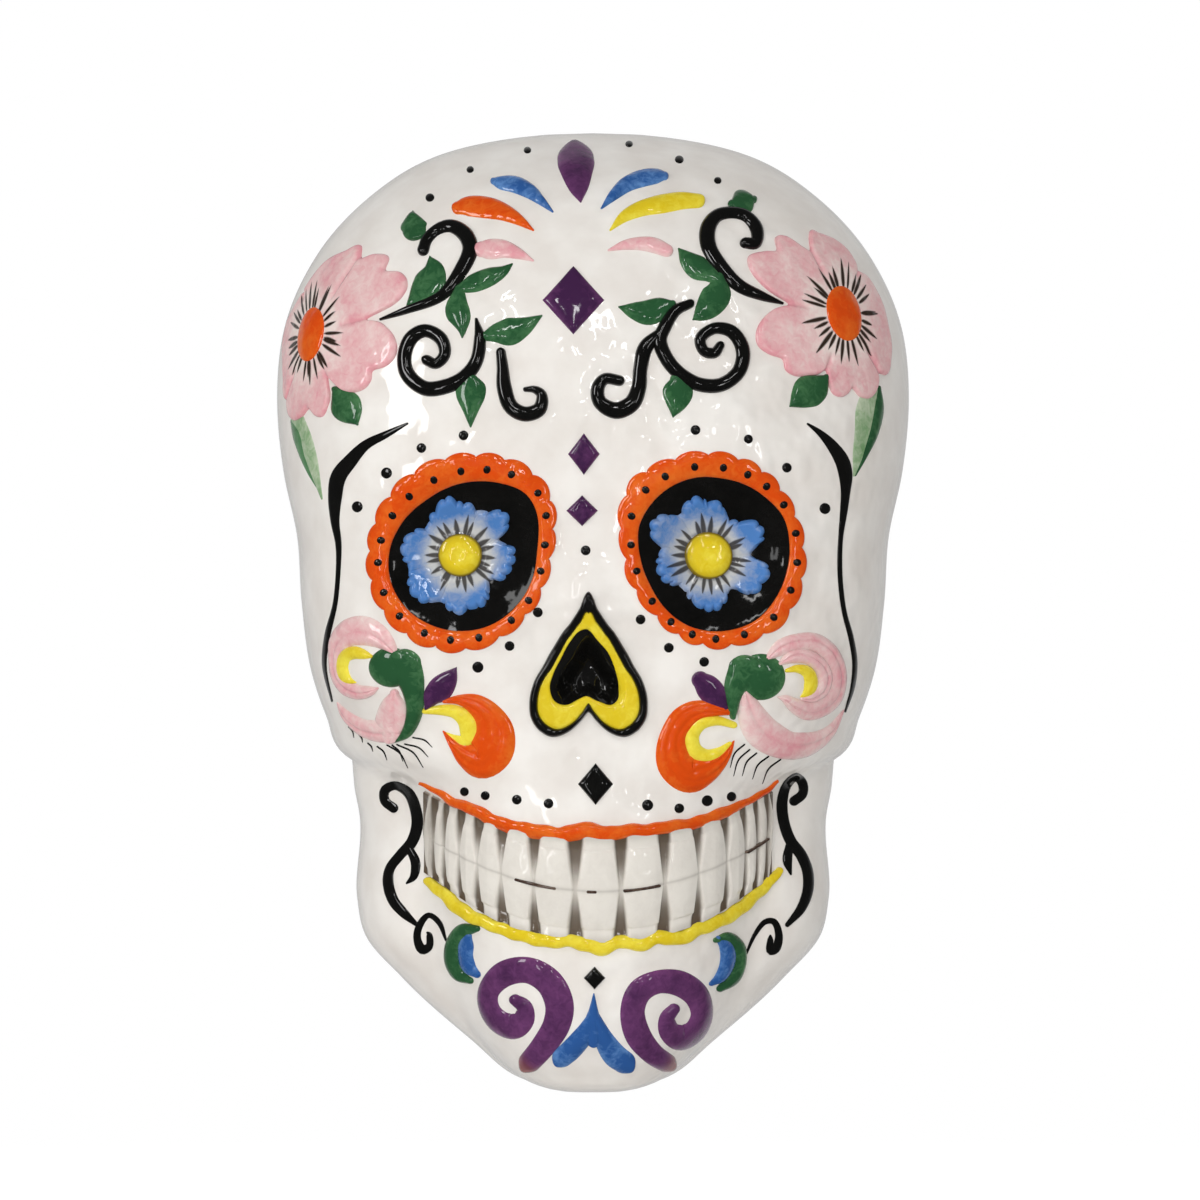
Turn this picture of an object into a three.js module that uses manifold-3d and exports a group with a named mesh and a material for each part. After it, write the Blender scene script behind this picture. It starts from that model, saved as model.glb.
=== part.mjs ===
// Sugar skull wall mask: an open-backed cast earthenware shell with applied clay sprigs.
// Millimetres, +Z up, the face looks along -Y and the back rim lies on the wall plane y = 0.
import * as THREE from "three";
import Module from "manifold-3d";

const wasm = await Module();
wasm.setup();

// Driving dimensions of the shell
const SKULL_HEIGHT = 280; // chin to crown
const SKULL_WIDTH = 185; // across the temples
const SKULL_DEPTH = 76; // wall to brow
const WALL = 6; // thickness of the casting
const SEAM = 0.3; // slip joint left between two pieces
const NEST = 0.6; // joint round a piece that is set into another
const SOCKET_DEPTH = 7; // eye sockets below the face
const NOSE_DEPTH = 7; // nose cavity below its band
const MOUTH_DEPTH = 3; // bite set back behind the lips

// Driving dimensions of the hanger
const WEB_THICKNESS = 5; // clay web luted across the back of the crown
const WEB_DROP = 52; // lower edge of the web below the crown
const NAIL_HOLE_DIAMETER = 8;
const NAIL_HOLE_DROP = 34; // centre of the nail hole below the crown

// Relief of the sprigs above the skin
const SCROLL_RELIEF = 2.2;
const LEAF_RELIEF = 1.7;
const DROP_RELIEF = 1.8;
const DIAMOND_RELIEF = 1.8;
const PETAL_RELIEF = 2.2;
const FLOWER_HEART_RELIEF = 3.2;
const RING_RELIEF = 2.4;
const EYE_FLOWER_RELIEF = 3.4;
const EYE_HEART_RELIEF = 5.2;
const NOSE_COIL_RELIEF = 2.4;
const NOSE_BAND_RELIEF = 1.6;
const CHEEK_RELIEF = 2.2;
const LIP_RELIEF = 2.2;
const TOOTH_RELIEF = 3.6;
const GUM_RELIEF = 1.2;
const CHIN_RELIEF = 2;
const SPRIG_ROOT = 2.5; // a sprig is drawn this deep below the skin, then trimmed to the seam
const EDGE_SHARE = 0.5; // height of a sprig's edge against its middle
const STATION_STEP = 3.6; // spacing of the sections along a sprig
const BLUNT_END = 0.8; // a sprig end wider than this is rounded off
const FACET_TOLERANCE = 0.12; // facets flatter than this are merged

// Sections and ornament are set out on one front elevation: x from the midline, z from the chin
// Upper head and muzzle: [height, half width], [height, depth off the wall], [height, squareness]
const HEAD_HALF_WIDTHS = [
  [0, 0], [3.5, 19], [15, 33], [30, 44], [45, 50], [58, 52.5], [80, 54], [90, 60], [98, 73], [109, 78],
  [121, 82], [142, 85], [161, 86.3], [180, 90.4], [203, 92.5], [222, 90.6], [244, 81], [262, 64.5],
  [273.5, 45], [280, 0],
];
const HEAD_DEPTHS = [
  [0, 0], [2, 46], [8, 58], [15, 63], [30, 68], [45, 72], [60, 76], [80, 76], [98, 74], [121, 74],
  [142, 75], [161, 75], [180, 76], [203, 75], [222, 71], [244, 60], [262, 44], [273.5, 25], [280, 0],
];
const HEAD_SQUARENESS = [
  [0, 3.2], [15, 2.8], [30, 2.4], [60, 2.2], [90, 2.3], [121, 2.9], [150, 3.2], [180, 2.8], [203, 2.45],
  [222, 2.3], [262, 2.1], [280, 2],
];

// Lower jaw behind the muzzle, which gives the outline below the cheekbones
const JAW_HALF_WIDTHS = [
  [0, 0], [3.5, 21], [15, 36], [33, 56], [45, 66.5], [56, 69], [80, 68.3], [90, 70], [100, 69.5], [115, 54],
  [130, 30], [140, 0],
];
const JAW_DEPTHS = [
  [0, 0], [2, 26], [15, 42], [33, 47], [45, 48], [58, 47], [80, 45], [95, 42], [110, 35], [125, 20],
  [140, 0],
];
const JAW_SQUARENESS = 3.2;
const JAW_TOP = JAW_HALF_WIDTHS.at(-1)[0];
const JAW_BLEND = 8; // higher is a tighter crease between jaw and head
const RELIEF_STARTS = 6; // features begin at this depth off the wall
const RELIEF_FULL = 30; // and are full from this depth on

// The drawing is stretched to the driving dimensions
const widest = (keys) => Math.max(...keys.map(([, value]) => value));
const DRAWN_HEIGHT = HEAD_HALF_WIDTHS.at(-1)[0];
const STRETCH_X = SKULL_WIDTH / (2 * widest(HEAD_HALF_WIDTHS));
const STRETCH_Y = SKULL_DEPTH / widest(HEAD_DEPTHS);
const STRETCH_Z = SKULL_HEIGHT / DRAWN_HEIGHT;
const PEN = Math.min(STRETCH_X, STRETCH_Z); // drawn stroke widths follow the tighter direction

// Features of the face, as drawn
const EYES = {
  left: { x: -37.5, z: 156, petalTurn: -0.21 },
  right: { x: 33.8, z: 156.5, petalTurn: -0.63 },
};
const SOCKET_RADIUS = 21.4;
const SOCKET_FLOOR = 0.3; // share of the radius where the bowl starts to rise
const SOCKET_LIP = 1.06; // share of the radius where the bowl meets the face
const SOCKET_RIM = { rise: 1.5, share: 1.15, spread: 0.2 }; // soft swelling round a socket
const SOCKET_INSIDE = { floor: 0.3, lip: 1.5 }; // the same socket, seen from the hollow
const EYE_TILT = 0.35; // the outer corners drop
const EYE_STRETCH = 1.04; // long axis of an eye against its short axis
const NOSE = { x: -1.2, z: 121 };
const NOSE_OUTLINE = [
  [0, 24.5], [10, 19.8], [30, 14.6], [57, 12.4], [95, 15.8], [118, 19.3], [134, 21], [147, 20.2],
  [158, 16.2], [169, 12], [180, 9.5],
];
const NOSE_CAVITY = [
  [0, 13.6], [12, 11], [30, 8.3], [57, 7.4], [95, 9.2], [118, 11], [133, 11.2], [148, 8.9], [165, 5.8],
  [180, 4.6],
];
const NOSE_FLOOR = 0.7; // share of the cavity where its floor ends
const NOSE_LIP = 1.2; // share of the cavity where its slope meets the face
const NOSE_INSIDE = 1.5; // spread of the nose's bump in the hollow, against the cavity
// Mouth lines: lowest point, and rise with the square of the distance from it
const UPPER_LIP = { x: 1.5, z: 77, rise: 0.0054 };
const LOWER_LIP = { x: 2.5, z: 45.5, rise: 0.0068 };
const BITE = { x: 2, z: 61, rise: 0.0062 };
const MOUTH_HALF_WIDTH = 50;
const MOUTH_CORNER = 8; // the bite runs out over this length at each corner
const LIP_SLOPE = { outside: 1, inside: 5 }; // a lip line's slope into the bite
const SWELLINGS = [
  { x: -64, z: 121, spreadX: 15, spreadZ: 13, rise: 4 },
  { x: 58, z: 120, spreadX: 15, spreadZ: 13, rise: 4 },
  { x: -36, z: 190, spreadX: 26, spreadZ: 9, rise: 2 },
  { x: 32, z: 190, spreadX: 26, spreadZ: 9, rise: 2 },
  { x: -1, z: 146, spreadX: 9, spreadZ: 17, rise: 3 },
  { x: 0, z: 26, spreadX: 22, spreadZ: 13, rise: 2 },
];

// Smooth curve through key values; cubic with the slopes averaged at each key
function throughKeys(keys, place) {
  const at = keys.map(([key]) => place(key));
  const value = keys.map((key) => key[1]);
  const last = keys.length - 1;
  const gap = at.slice(1).map((end, i) => end - at[i]);
  const slope = gap.map((width, i) => (value[i + 1] - value[i]) / width);
  const tangent = value.map((_, i) => {
    if (i === 0) return slope[0];
    if (i === last) return slope[last - 1];
    return (slope[i - 1] * gap[i] + slope[i] * gap[i - 1]) / (gap[i - 1] + gap[i]);
  });
  return (key) => {
    const q = THREE.MathUtils.clamp(place(key), at[0], at[last]);
    let i = 0;
    while (i < last - 1 && q > at[i + 1]) i += 1;
    const t = (q - at[i]) / gap[i];
    const rest = 1 - t;
    const ends = value[i] * (1 + 2 * t) * rest * rest + value[i + 1] * t * t * (3 - 2 * t);
    return ends + gap[i] * t * rest * (tangent[i] * rest - tangent[i + 1] * t);
  };
}

// Heights are read as an angle round the drawing, so both ends of the skull close roundly
const roundHeight = (z) => Math.acos(THREE.MathUtils.clamp(1 - (2 * z) / DRAWN_HEIGHT, -1, 1));
const plain = (value) => value;
const headHalfWidth = throughKeys(HEAD_HALF_WIDTHS, roundHeight);
const headDepth = throughKeys(HEAD_DEPTHS, roundHeight);
const headSquareness = throughKeys(HEAD_SQUARENESS, roundHeight);
const jawHalfWidth = throughKeys(JAW_HALF_WIDTHS, roundHeight);
const jawDepth = throughKeys(JAW_DEPTHS, roundHeight);
const noseOutline = throughKeys(NOSE_OUTLINE, plain);
const noseCavity = throughKeys(NOSE_CAVITY, plain);
const smooth = (value, from, to) => THREE.MathUtils.smoothstep(value, from, to);
const along = (line, x) => line.z + line.rise * (x - line.x) ** 2;

function outlineHalfWidth(z) {
  return Math.max(headHalfWidth(z), z < JAW_TOP ? jawHalfWidth(z) : 0, 0);
}

// Depth of one superellipse section at x
function sectionDepth(x, halfWidth, depth, squareness) {
  if (halfWidth <= 0 || Math.abs(x) >= halfWidth) return 0;
  return Math.max(depth, 0) * (1 - (Math.abs(x) / halfWidth) ** squareness) ** (1 / squareness);
}

// How far out a point lies from an eye's middle, 1 at the edge of the socket
function eyeShare(eye, x, z) {
  const tilt = eye.x < 0 ? EYE_TILT : -EYE_TILT;
  const dx = x - eye.x;
  const dz = z - eye.z;
  const across = dx * Math.cos(tilt) - dz * Math.sin(tilt);
  const up = dx * Math.sin(tilt) + dz * Math.cos(tilt);
  return Math.hypot(across, up / EYE_STRETCH) / SOCKET_RADIUS;
}

// Sockets, nose, bite and soft swellings, as a step out of or into the plain head
function faceRelief(x, z) {
  let step = 0;
  for (const eye of Object.values(EYES)) {
    const share = eyeShare(eye, x, z);
    step -= SOCKET_DEPTH * (1 - smooth(share, SOCKET_FLOOR, SOCKET_LIP));
    step += SOCKET_RIM.rise * Math.exp(-(((share - SOCKET_RIM.share) / SOCKET_RIM.spread) ** 2));
  }
  const noseAngle = THREE.MathUtils.radToDeg(Math.atan2(Math.abs(x - NOSE.x), z - NOSE.z));
  const noseShare = Math.hypot(x - NOSE.x, z - NOSE.z) / noseCavity(noseAngle);
  step -= NOSE_DEPTH * (1 - smooth(noseShare, NOSE_FLOOR, NOSE_LIP));
  const lower = along(LOWER_LIP, x);
  const upper = along(UPPER_LIP, x);
  const aboveLower = smooth(z, lower - LIP_SLOPE.outside, lower + LIP_SLOPE.inside);
  const belowUpper = 1 - smooth(z, upper - LIP_SLOPE.inside, upper + LIP_SLOPE.outside);
  const inMouth = 1 - smooth(Math.abs(x), MOUTH_HALF_WIDTH - MOUTH_CORNER, MOUTH_HALF_WIDTH);
  step -= MOUTH_DEPTH * aboveLower * belowUpper * inMouth;
  for (const swelling of SWELLINGS) {
    const dx = (x - swelling.x) / swelling.spreadX;
    const dz = (z - swelling.z) / swelling.spreadZ;
    step += swelling.rise * Math.exp(-dx * dx - dz * dz);
  }
  return step;
}

// The same features seen from inside, where the slip has filled every small form
function hollowRelief(x, z) {
  const noseShare = Math.hypot(x - NOSE.x, z - NOSE.z) / (NOSE_INSIDE * noseCavity(0));
  const { floor, lip } = SOCKET_INSIDE;
  const sockets = Object.values(EYES).map((eye) => 1 - smooth(eyeShare(eye, x, z), floor, lip));
  return -SOCKET_DEPTH * Math.max(...sockets) - NOSE_DEPTH * Math.exp(-noseShare * noseShare);
}

// Drawn depth off the wall, of the skin or of the hollow's own form
function depthAt(x, z, relief) {
  const head = sectionDepth(x, headHalfWidth(z), headDepth(z), headSquareness(z));
  const jaw = z < JAW_TOP ? sectionDepth(x, jawHalfWidth(z), jawDepth(z), JAW_SQUARENESS) : 0;
  const plainDepth = (head ** JAW_BLEND + jaw ** JAW_BLEND) ** (1 / JAW_BLEND);
  return plainDepth + relief(x, z) * smooth(plainDepth, RELIEF_STARTS, RELIEF_FULL);
}
const skinDepth = (x, z) => depthAt(x, z, faceRelief);

// Real point of the skin under a point of the drawing
function skinPoint(x, z) {
  return new THREE.Vector3(x * STRETCH_X, -skinDepth(x, z) * STRETCH_Y, z * STRETCH_Z);
}

// The same point lifted along the skin's normal, which is read a little inside the outline
function onSkin(x, z, lift) {
  const inside = 0.985; // share of the half width
  const margin = 0.4; // from chin and crown
  const probe = 0.25; // step of the differences
  const zIn = THREE.MathUtils.clamp(z, margin, DRAWN_HEIGHT - margin);
  const reach = outlineHalfWidth(zIn) * inside;
  const xIn = THREE.MathUtils.clamp(x, -reach, reach);
  const acrossStep = skinPoint(xIn + probe, zIn).sub(skinPoint(xIn - probe, zIn));
  const upStep = skinPoint(xIn, zIn + probe).sub(skinPoint(xIn, zIn - probe));
  const normal = acrossStep.cross(upStep).normalize();
  return skinPoint(x, z).addScaledVector(normal, lift);
}

// A closed solid from points and triangles, turned to face outward
function solidFrom(points, triangles) {
  let volume = 0;
  for (const [a, b, c] of triangles) {
    volume += points[a].dot(new THREE.Vector3().crossVectors(points[b], points[c]));
  }
  const faces = volume < 0 ? triangles.map(([a, b, c]) => [a, c, b]) : triangles;
  const vertProperties = new Float32Array(points.flatMap((point) => point.toArray()));
  const triVerts = new Uint32Array(faces.flat());
  return new wasm.Manifold(new wasm.Mesh({ numProp: 3, vertProperties, triVerts }));
}

// Share of the half width where a column stands: columns are spaced round a squared-off arc
const COLUMN_ARC = 2.5;
function columnShare(angle) {
  const across = Math.abs(Math.sin(angle)) ** COLUMN_ARC;
  const out = Math.abs(Math.cos(angle)) ** COLUMN_ARC;
  return Math.sin(angle) * (across + out) ** (-1 / COLUMN_ARC);
}

// A dome from the wall plane: rows of points between two poles, closed by a flat back
function domeSolid(rows, columns, pointAt) {
  const points = [];
  const triangles = [];
  const index = (row, column) => {
    if (row === 0) return 0;
    if (row === rows.length - 1) return 1;
    return 2 + (row - 1) * (columns + 1) + column;
  };
  points.push(pointAt(0, rows[0]), pointAt(0, rows[rows.length - 1]));
  for (const z of rows.slice(1, -1)) {
    for (let column = 0; column <= columns; column += 1) {
      const angle = (column / columns - 0.5) * Math.PI;
      points.push(pointAt(outlineHalfWidth(z) * columnShare(angle), z));
    }
  }
  const quad = (a, b, c, d) => {
    if (a !== b && b !== c && a !== c) triangles.push([a, b, c]);
    if (a !== c && c !== d && a !== d) triangles.push([a, c, d]);
  };
  for (let row = 0; row < rows.length - 1; row += 1) {
    for (let column = 0; column < columns; column += 1) {
      quad(index(row, column), index(row, column + 1), index(row + 1, column + 1), index(row + 1, column));
    }
    quad(index(row, columns), index(row, 0), index(row + 1, 0), index(row + 1, columns));
  }
  return solidFrom(points, triangles);
}

// Heights of the rows, closer together toward chin and crown
function rowHeights(count, crowding) {
  const turn = 2 * Math.PI;
  return Array.from({ length: count + 1 }, (_, i) => {
    const share = i / count;
    return DRAWN_HEIGHT * (share - (crowding * Math.sin(turn * share)) / turn);
  });
}

// The hollow is the skin moved in by the wall, and runs out past the back
const HOLLOW_ROWS = rowHeights(20, 0.3);
const HOLLOW_COLUMNS = 16;
function hollowSolid(wall) {
  return domeSolid(HOLLOW_ROWS, HOLLOW_COLUMNS, (x, z) => {
    const halfWidth = Math.max(outlineHalfWidth(z) * STRETCH_X, wall);
    const depth = depthAt(x, z, hollowRelief) * STRETCH_Y;
    const height = wall + (z * STRETCH_Z * (SKULL_HEIGHT - 2 * wall)) / SKULL_HEIGHT;
    return new THREE.Vector3(x * STRETCH_X * (1 - wall / halfWidth), wall - depth, height);
  });
}

const SKIN_ROWS = rowHeights(44, 0.35);
const SKIN_COLUMNS = 34;
const body = domeSolid(SKIN_ROWS, SKIN_COLUMNS, skinPoint);
const bodyWithSeam = domeSolid(SKIN_ROWS, SKIN_COLUMNS, (x, z) => onSkin(x, z, SEAM));
const shell = body.subtract(hollowSolid(WALL));

// Web across the back of the crown, seated in the hollow, with the nail hole through it
const slab = wasm.Manifold.cube([2 * SKULL_WIDTH, WEB_THICKNESS, WEB_DROP], true)
  .translate([0, -WEB_THICKNESS / 2, SKULL_HEIGHT - WEB_DROP / 2]);
const NAIL_HOLE_FACETS = 32;
const drill = [4 * WEB_THICKNESS, NAIL_HOLE_DIAMETER / 2, NAIL_HOLE_DIAMETER / 2, NAIL_HOLE_FACETS];
const nailHole = wasm.Manifold.cylinder(...drill, true)
  .rotate([90, 0, 0])
  .translate([0, 0, SKULL_HEIGHT - NAIL_HOLE_DROP]);
const hangingWeb = slab.intersect(hollowSolid(WALL + SEAM)).subtract(nailHole);

// A sprig drawn like a brush stroke: a spine of [x, z, half width], swept with a rounded section
const FEWEST_STATIONS = 6;
const END_TURNS = [1.35, 0.75]; // radians round a blunt end, from its tip inward
const TIP_HALF_WIDTH = 0.2;
function strokeSolid(points, relief, grow, straight) {
  const controls = points.map(([x, z, halfWidth]) => new THREE.Vector3(x, z, halfWidth * PEN + grow));
  const spine = new THREE.CatmullRomCurve3(controls, false, "centripetal");
  const count = Math.max(FEWEST_STATIONS, Math.ceil(spine.getLength() / STATION_STEP));
  const stations = straight ? controls : spine.getPoints(count);
  const first = stations[0];
  const last = stations[stations.length - 1];
  const before = first.clone().sub(stations[1]).setZ(0).normalize();
  const after = last.clone().sub(stations[stations.length - 2]).setZ(0).normalize();
  const roundOff = (end, way, turn) => {
    const blunt = end.z > BLUNT_END + grow ? end.z : grow;
    const moved = end.clone().addScaledVector(way, blunt * Math.sin(turn));
    return moved.setZ(Math.max(end.z * Math.cos(turn), TIP_HALF_WIDTH));
  };
  const isCapped = (end) => grow > 0 || (!straight && end.z > BLUNT_END);
  const startCap = isCapped(first) ? END_TURNS.map((turn) => roundOff(first, before, turn)) : [];
  const endCap = isCapped(last) ? END_TURNS.map((turn) => roundOff(last, after, turn)).reverse() : [];
  const path = [...startCap, ...stations, ...endCap];
  const edge = relief * EDGE_SHARE;
  const section = [[-1, -SPRIG_ROOT], [-1, edge], [0, relief], [1, edge], [1, -SPRIG_ROOT]];
  const ring = section.length;
  const vertices = [];
  path.forEach((station, i) => {
    const back = path[Math.max(i - 1, 0)];
    const ahead = path[Math.min(i + 1, path.length - 1)];
    const way = new THREE.Vector2(ahead.x - back.x, ahead.y - back.y).normalize();
    for (const [side, lift] of section) {
      const x = station.x - way.y * station.z * side;
      const z = station.y + way.x * station.z * side;
      vertices.push(onSkin(x, z, lift));
    }
  });
  const triangles = [];
  for (let i = 0; i < path.length - 1; i += 1) {
    for (let j = 0; j < ring; j += 1) {
      const a = i * ring + j;
      const b = i * ring + ((j + 1) % ring);
      triangles.push([a, b, b + ring], [a, b + ring, a + ring]);
    }
  }
  const end = (path.length - 1) * ring;
  for (let j = 1; j < ring - 1; j += 1) triangles.push([0, j + 1, j], [end, end + j, end + j + 1]);
  return solidFrom(vertices, triangles);
}

// A sprig drawn as a patch: stops along its length by shares across it
function patchSolid({ stops, shares, at, lift }, grow) {
  const vertices = [];
  const triangles = [];
  const deep = shares.length;
  for (const under of [false, true]) {
    for (const stop of stops) {
      for (const share of shares) {
        const height = under ? -SPRIG_ROOT : lift(stop, share);
        vertices.push(onSkin(...at(stop, share, grow), height));
      }
    }
  }
  const index = (under, i, j) => (under ? stops.length * deep : 0) + i * deep + j;
  const face = (a, b, c, d) => triangles.push([a, b, c], [a, c, d]);
  for (let i = 0; i < stops.length - 1; i += 1) {
    for (let j = 0; j < deep - 1; j += 1) {
      face(index(false, i, j), index(false, i, j + 1), index(false, i + 1, j + 1), index(false, i + 1, j));
      face(index(true, i, j), index(true, i + 1, j), index(true, i + 1, j + 1), index(true, i, j + 1));
    }
    const top = deep - 1;
    face(index(false, i, 0), index(false, i + 1, 0), index(true, i + 1, 0), index(true, i, 0));
    face(index(false, i, top), index(true, i, top), index(true, i + 1, top), index(false, i + 1, top));
  }
  const end = stops.length - 1;
  for (let j = 0; j < deep - 1; j += 1) {
    face(index(false, 0, j), index(true, 0, j), index(true, 0, j + 1), index(false, 0, j + 1));
    face(index(false, end, j), index(false, end, j + 1), index(true, end, j + 1), index(true, end, j));
  }
  return solidFrom(vertices, triangles);
}

// A sprig drawn round a middle: spokes by rings, from an inner edge (or the middle) to an outline
function rosetteSolid({ spokes, rings, at, hole, lift }, grow) {
  const vertices = [];
  const triangles = [];
  const firstRing = hole ? 0 : 1;
  const shares = Array.from({ length: rings + 1 - firstRing }, (_, i) => (i + firstRing) / rings);
  for (const under of [false, true]) {
    if (!hole) vertices.push(onSkin(...at(0, 0, grow), under ? -SPRIG_ROOT : lift(0, 0)));
    for (const share of shares) {
      for (let spoke = 0; spoke < spokes; spoke += 1) {
        const angle = (2 * Math.PI * spoke) / spokes;
        vertices.push(onSkin(...at(angle, share, grow), under ? -SPRIG_ROOT : lift(share, angle)));
      }
    }
  }
  const layer = vertices.length / 2; // points of the top side come first
  const index = (under, ring, spoke) => (under ? layer : 0) + firstRing + ring * spokes + (spoke % spokes);
  for (let spoke = 0; spoke < spokes; spoke += 1) {
    for (const under of [false, true]) {
      const face = (a, b, c) => triangles.push(under ? [a, c, b] : [a, b, c]);
      if (!hole) face(under ? layer : 0, index(under, 0, spoke), index(under, 0, spoke + 1));
      for (let ring = 0; ring < shares.length - 1; ring += 1) {
        face(index(under, ring, spoke), index(under, ring + 1, spoke), index(under, ring + 1, spoke + 1));
        face(index(under, ring, spoke), index(under, ring + 1, spoke + 1), index(under, ring, spoke + 1));
      }
    }
    const wall = (ring, outward) => {
      const a = index(false, ring, spoke);
      const b = index(false, ring, spoke + 1);
      const c = index(true, ring, spoke + 1);
      const d = index(true, ring, spoke);
      triangles.push(outward ? [a, d, c] : [a, c, d], outward ? [a, c, b] : [a, b, c]);
    };
    wall(shares.length - 1, true);
    if (hole) wall(0, false);
  }
  return solidFrom(vertices, triangles);
}

// Rounded crown of a rosette: full in the middle of its width, lower at its edges
const domed = (relief) => (share) => relief * (1 - (1 - EDGE_SHARE) * share ** 3);
const coiled = (relief) => (share) => relief * (EDGE_SHARE + (1 - EDGE_SHARE) * Math.sin(Math.PI * share));

// Scalloped ring, flower and flower heart of one eye
const SCALLOPS = 19;
const RING_OUTER = 26.4;
const SCALLOP_HEIGHT = 1.5;
const EYE_FLOWER_RADIUS = 15.8;
const EYE_PETALS = { count: 6, height: 1.4 };
const EYE_RUFFLES = { count: 18, height: 0.5 };
const EYE_FLOWER_EDGE = 0.5; // height of the flower's edge against its middle
const RING_CLEARANCE = 0.4; // ring to the edge of the socket
const EYE_HEART_RADIUS = 6.3;
function eyePoint(eye, angle, radius) {
  const tilt = eye.x < 0 ? EYE_TILT : -EYE_TILT;
  const across = radius * Math.cos(angle);
  const up = radius * Math.sin(angle) * EYE_STRETCH;
  const x = eye.x + across * Math.cos(tilt) + up * Math.sin(tilt);
  const z = eye.z - across * Math.sin(tilt) + up * Math.cos(tilt);
  return [x, z];
}
const scalloped = (angle) => RING_OUTER + SCALLOP_HEIGHT * Math.abs(Math.cos((SCALLOPS * angle) / 2));
const ruffled = (eye) => (angle) => {
  const petals = EYE_PETALS.height * Math.cos(EYE_PETALS.count * angle + eye.petalTurn);
  const ruffles = EYE_RUFFLES.height * Math.cos(EYE_RUFFLES.count * angle + eye.petalTurn);
  return EYE_FLOWER_RADIUS + petals + ruffles;
};
function eyeSprigs(side, eye) {
  const between = (inner, outer) => (angle, share, grow) => {
    const from = inner(angle) - grow;
    return eyePoint(eye, angle, from + (outer(angle) + grow - from) * share);
  };
  const heart = (angle, share, grow) => eyePoint(eye, angle, (EYE_HEART_RADIUS + grow) * share);
  const ringInner = () => SOCKET_RADIUS + RING_CLEARANCE;
  const flowerInner = () => EYE_HEART_RADIUS + NEST;
  return [
    { name: `eye_ring_${side}`, glaze: "orange", spokes: 2 * SCALLOPS, rings: 2, hole: true,
      at: between(ringInner, scalloped), lift: coiled(RING_RELIEF) },
    { name: `eye_flower_heart_${side}`, glaze: "yellow", spokes: 16, rings: 2, hole: false,
      at: heart, lift: domed(EYE_HEART_RELIEF) },
    { name: `eye_flower_${side}`, glaze: "paleBlue", spokes: 2 * EYE_RUFFLES.count, rings: 1, hole: true,
      at: between(flowerInner, ruffled(eye)),
      lift: (share) => EYE_FLOWER_RELIEF * THREE.MathUtils.lerp(1, EYE_FLOWER_EDGE, share) },
  ];
}

// Coil and inner band of the nose
const NOSE_COIL_WIDTH = 2.6;
function nosePoint(angle, radius) {
  return [NOSE.x + radius * Math.sin(angle), NOSE.z + radius * Math.cos(angle)];
}
const fromTop = (angle) => THREE.MathUtils.radToDeg(angle > Math.PI ? 2 * Math.PI - angle : angle);
const noseSprigs = [
  { name: "nose_coil", glaze: "black", spokes: 40, rings: 2, hole: true, lift: coiled(NOSE_COIL_RELIEF),
    at: (angle, share, grow) => {
      const outer = noseOutline(fromTop(angle)) + grow;
      const inner = noseOutline(fromTop(angle)) - NOSE_COIL_WIDTH - grow;
      return nosePoint(angle, inner + (outer - inner) * share);
    } },
  { name: "nose_band", glaze: "yellow", spokes: 32, rings: 1, hole: true, lift: () => NOSE_BAND_RELIEF,
    at: (angle, share, grow) => {
      const outer = noseOutline(fromTop(angle)) - NOSE_COIL_WIDTH - NEST + grow;
      const inner = noseCavity(fromTop(angle)) - grow;
      return nosePoint(angle, inner + (outer - inner) * share);
    } },
];

// Share of the girth from the midline to the rim, so the temple flowers wrap round the head
const GIRTH_STEPS = 60;
const GIRTH_LIMIT = 0.995; // a flower stops just short of the rim
function girth(z) {
  const halfWidth = outlineHalfWidth(z);
  const walk = [{ x: 0, run: 0 }];
  for (let i = 1; i <= GIRTH_STEPS; i += 1) {
    const x = halfWidth * Math.sin((i / GIRTH_STEPS) * (Math.PI / 2));
    const back = walk[i - 1];
    const rise = skinDepth(x, z) - skinDepth(back.x, z);
    walk.push({ x, run: back.run + Math.hypot(x - back.x, rise) });
  }
  return walk;
}
function girthShare(x, z) {
  const walk = girth(z);
  const i = walk.findIndex((mark) => mark.x >= Math.abs(x));
  const t = (Math.abs(x) - walk[i - 1].x) / (walk[i].x - walk[i - 1].x);
  return (walk[i - 1].run + t * (walk[i].run - walk[i - 1].run)) / walk[GIRTH_STEPS].run;
}
function atGirth(share, z) {
  const walk = girth(z);
  const run = Math.min(share, GIRTH_LIMIT) * walk[GIRTH_STEPS].run;
  const i = Math.max(walk.findIndex((mark) => mark.run >= run), 1);
  const t = (run - walk[i - 1].run) / (walk[i].run - walk[i - 1].run);
  return walk[i - 1].x + t * (walk[i].x - walk[i - 1].x);
}

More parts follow.
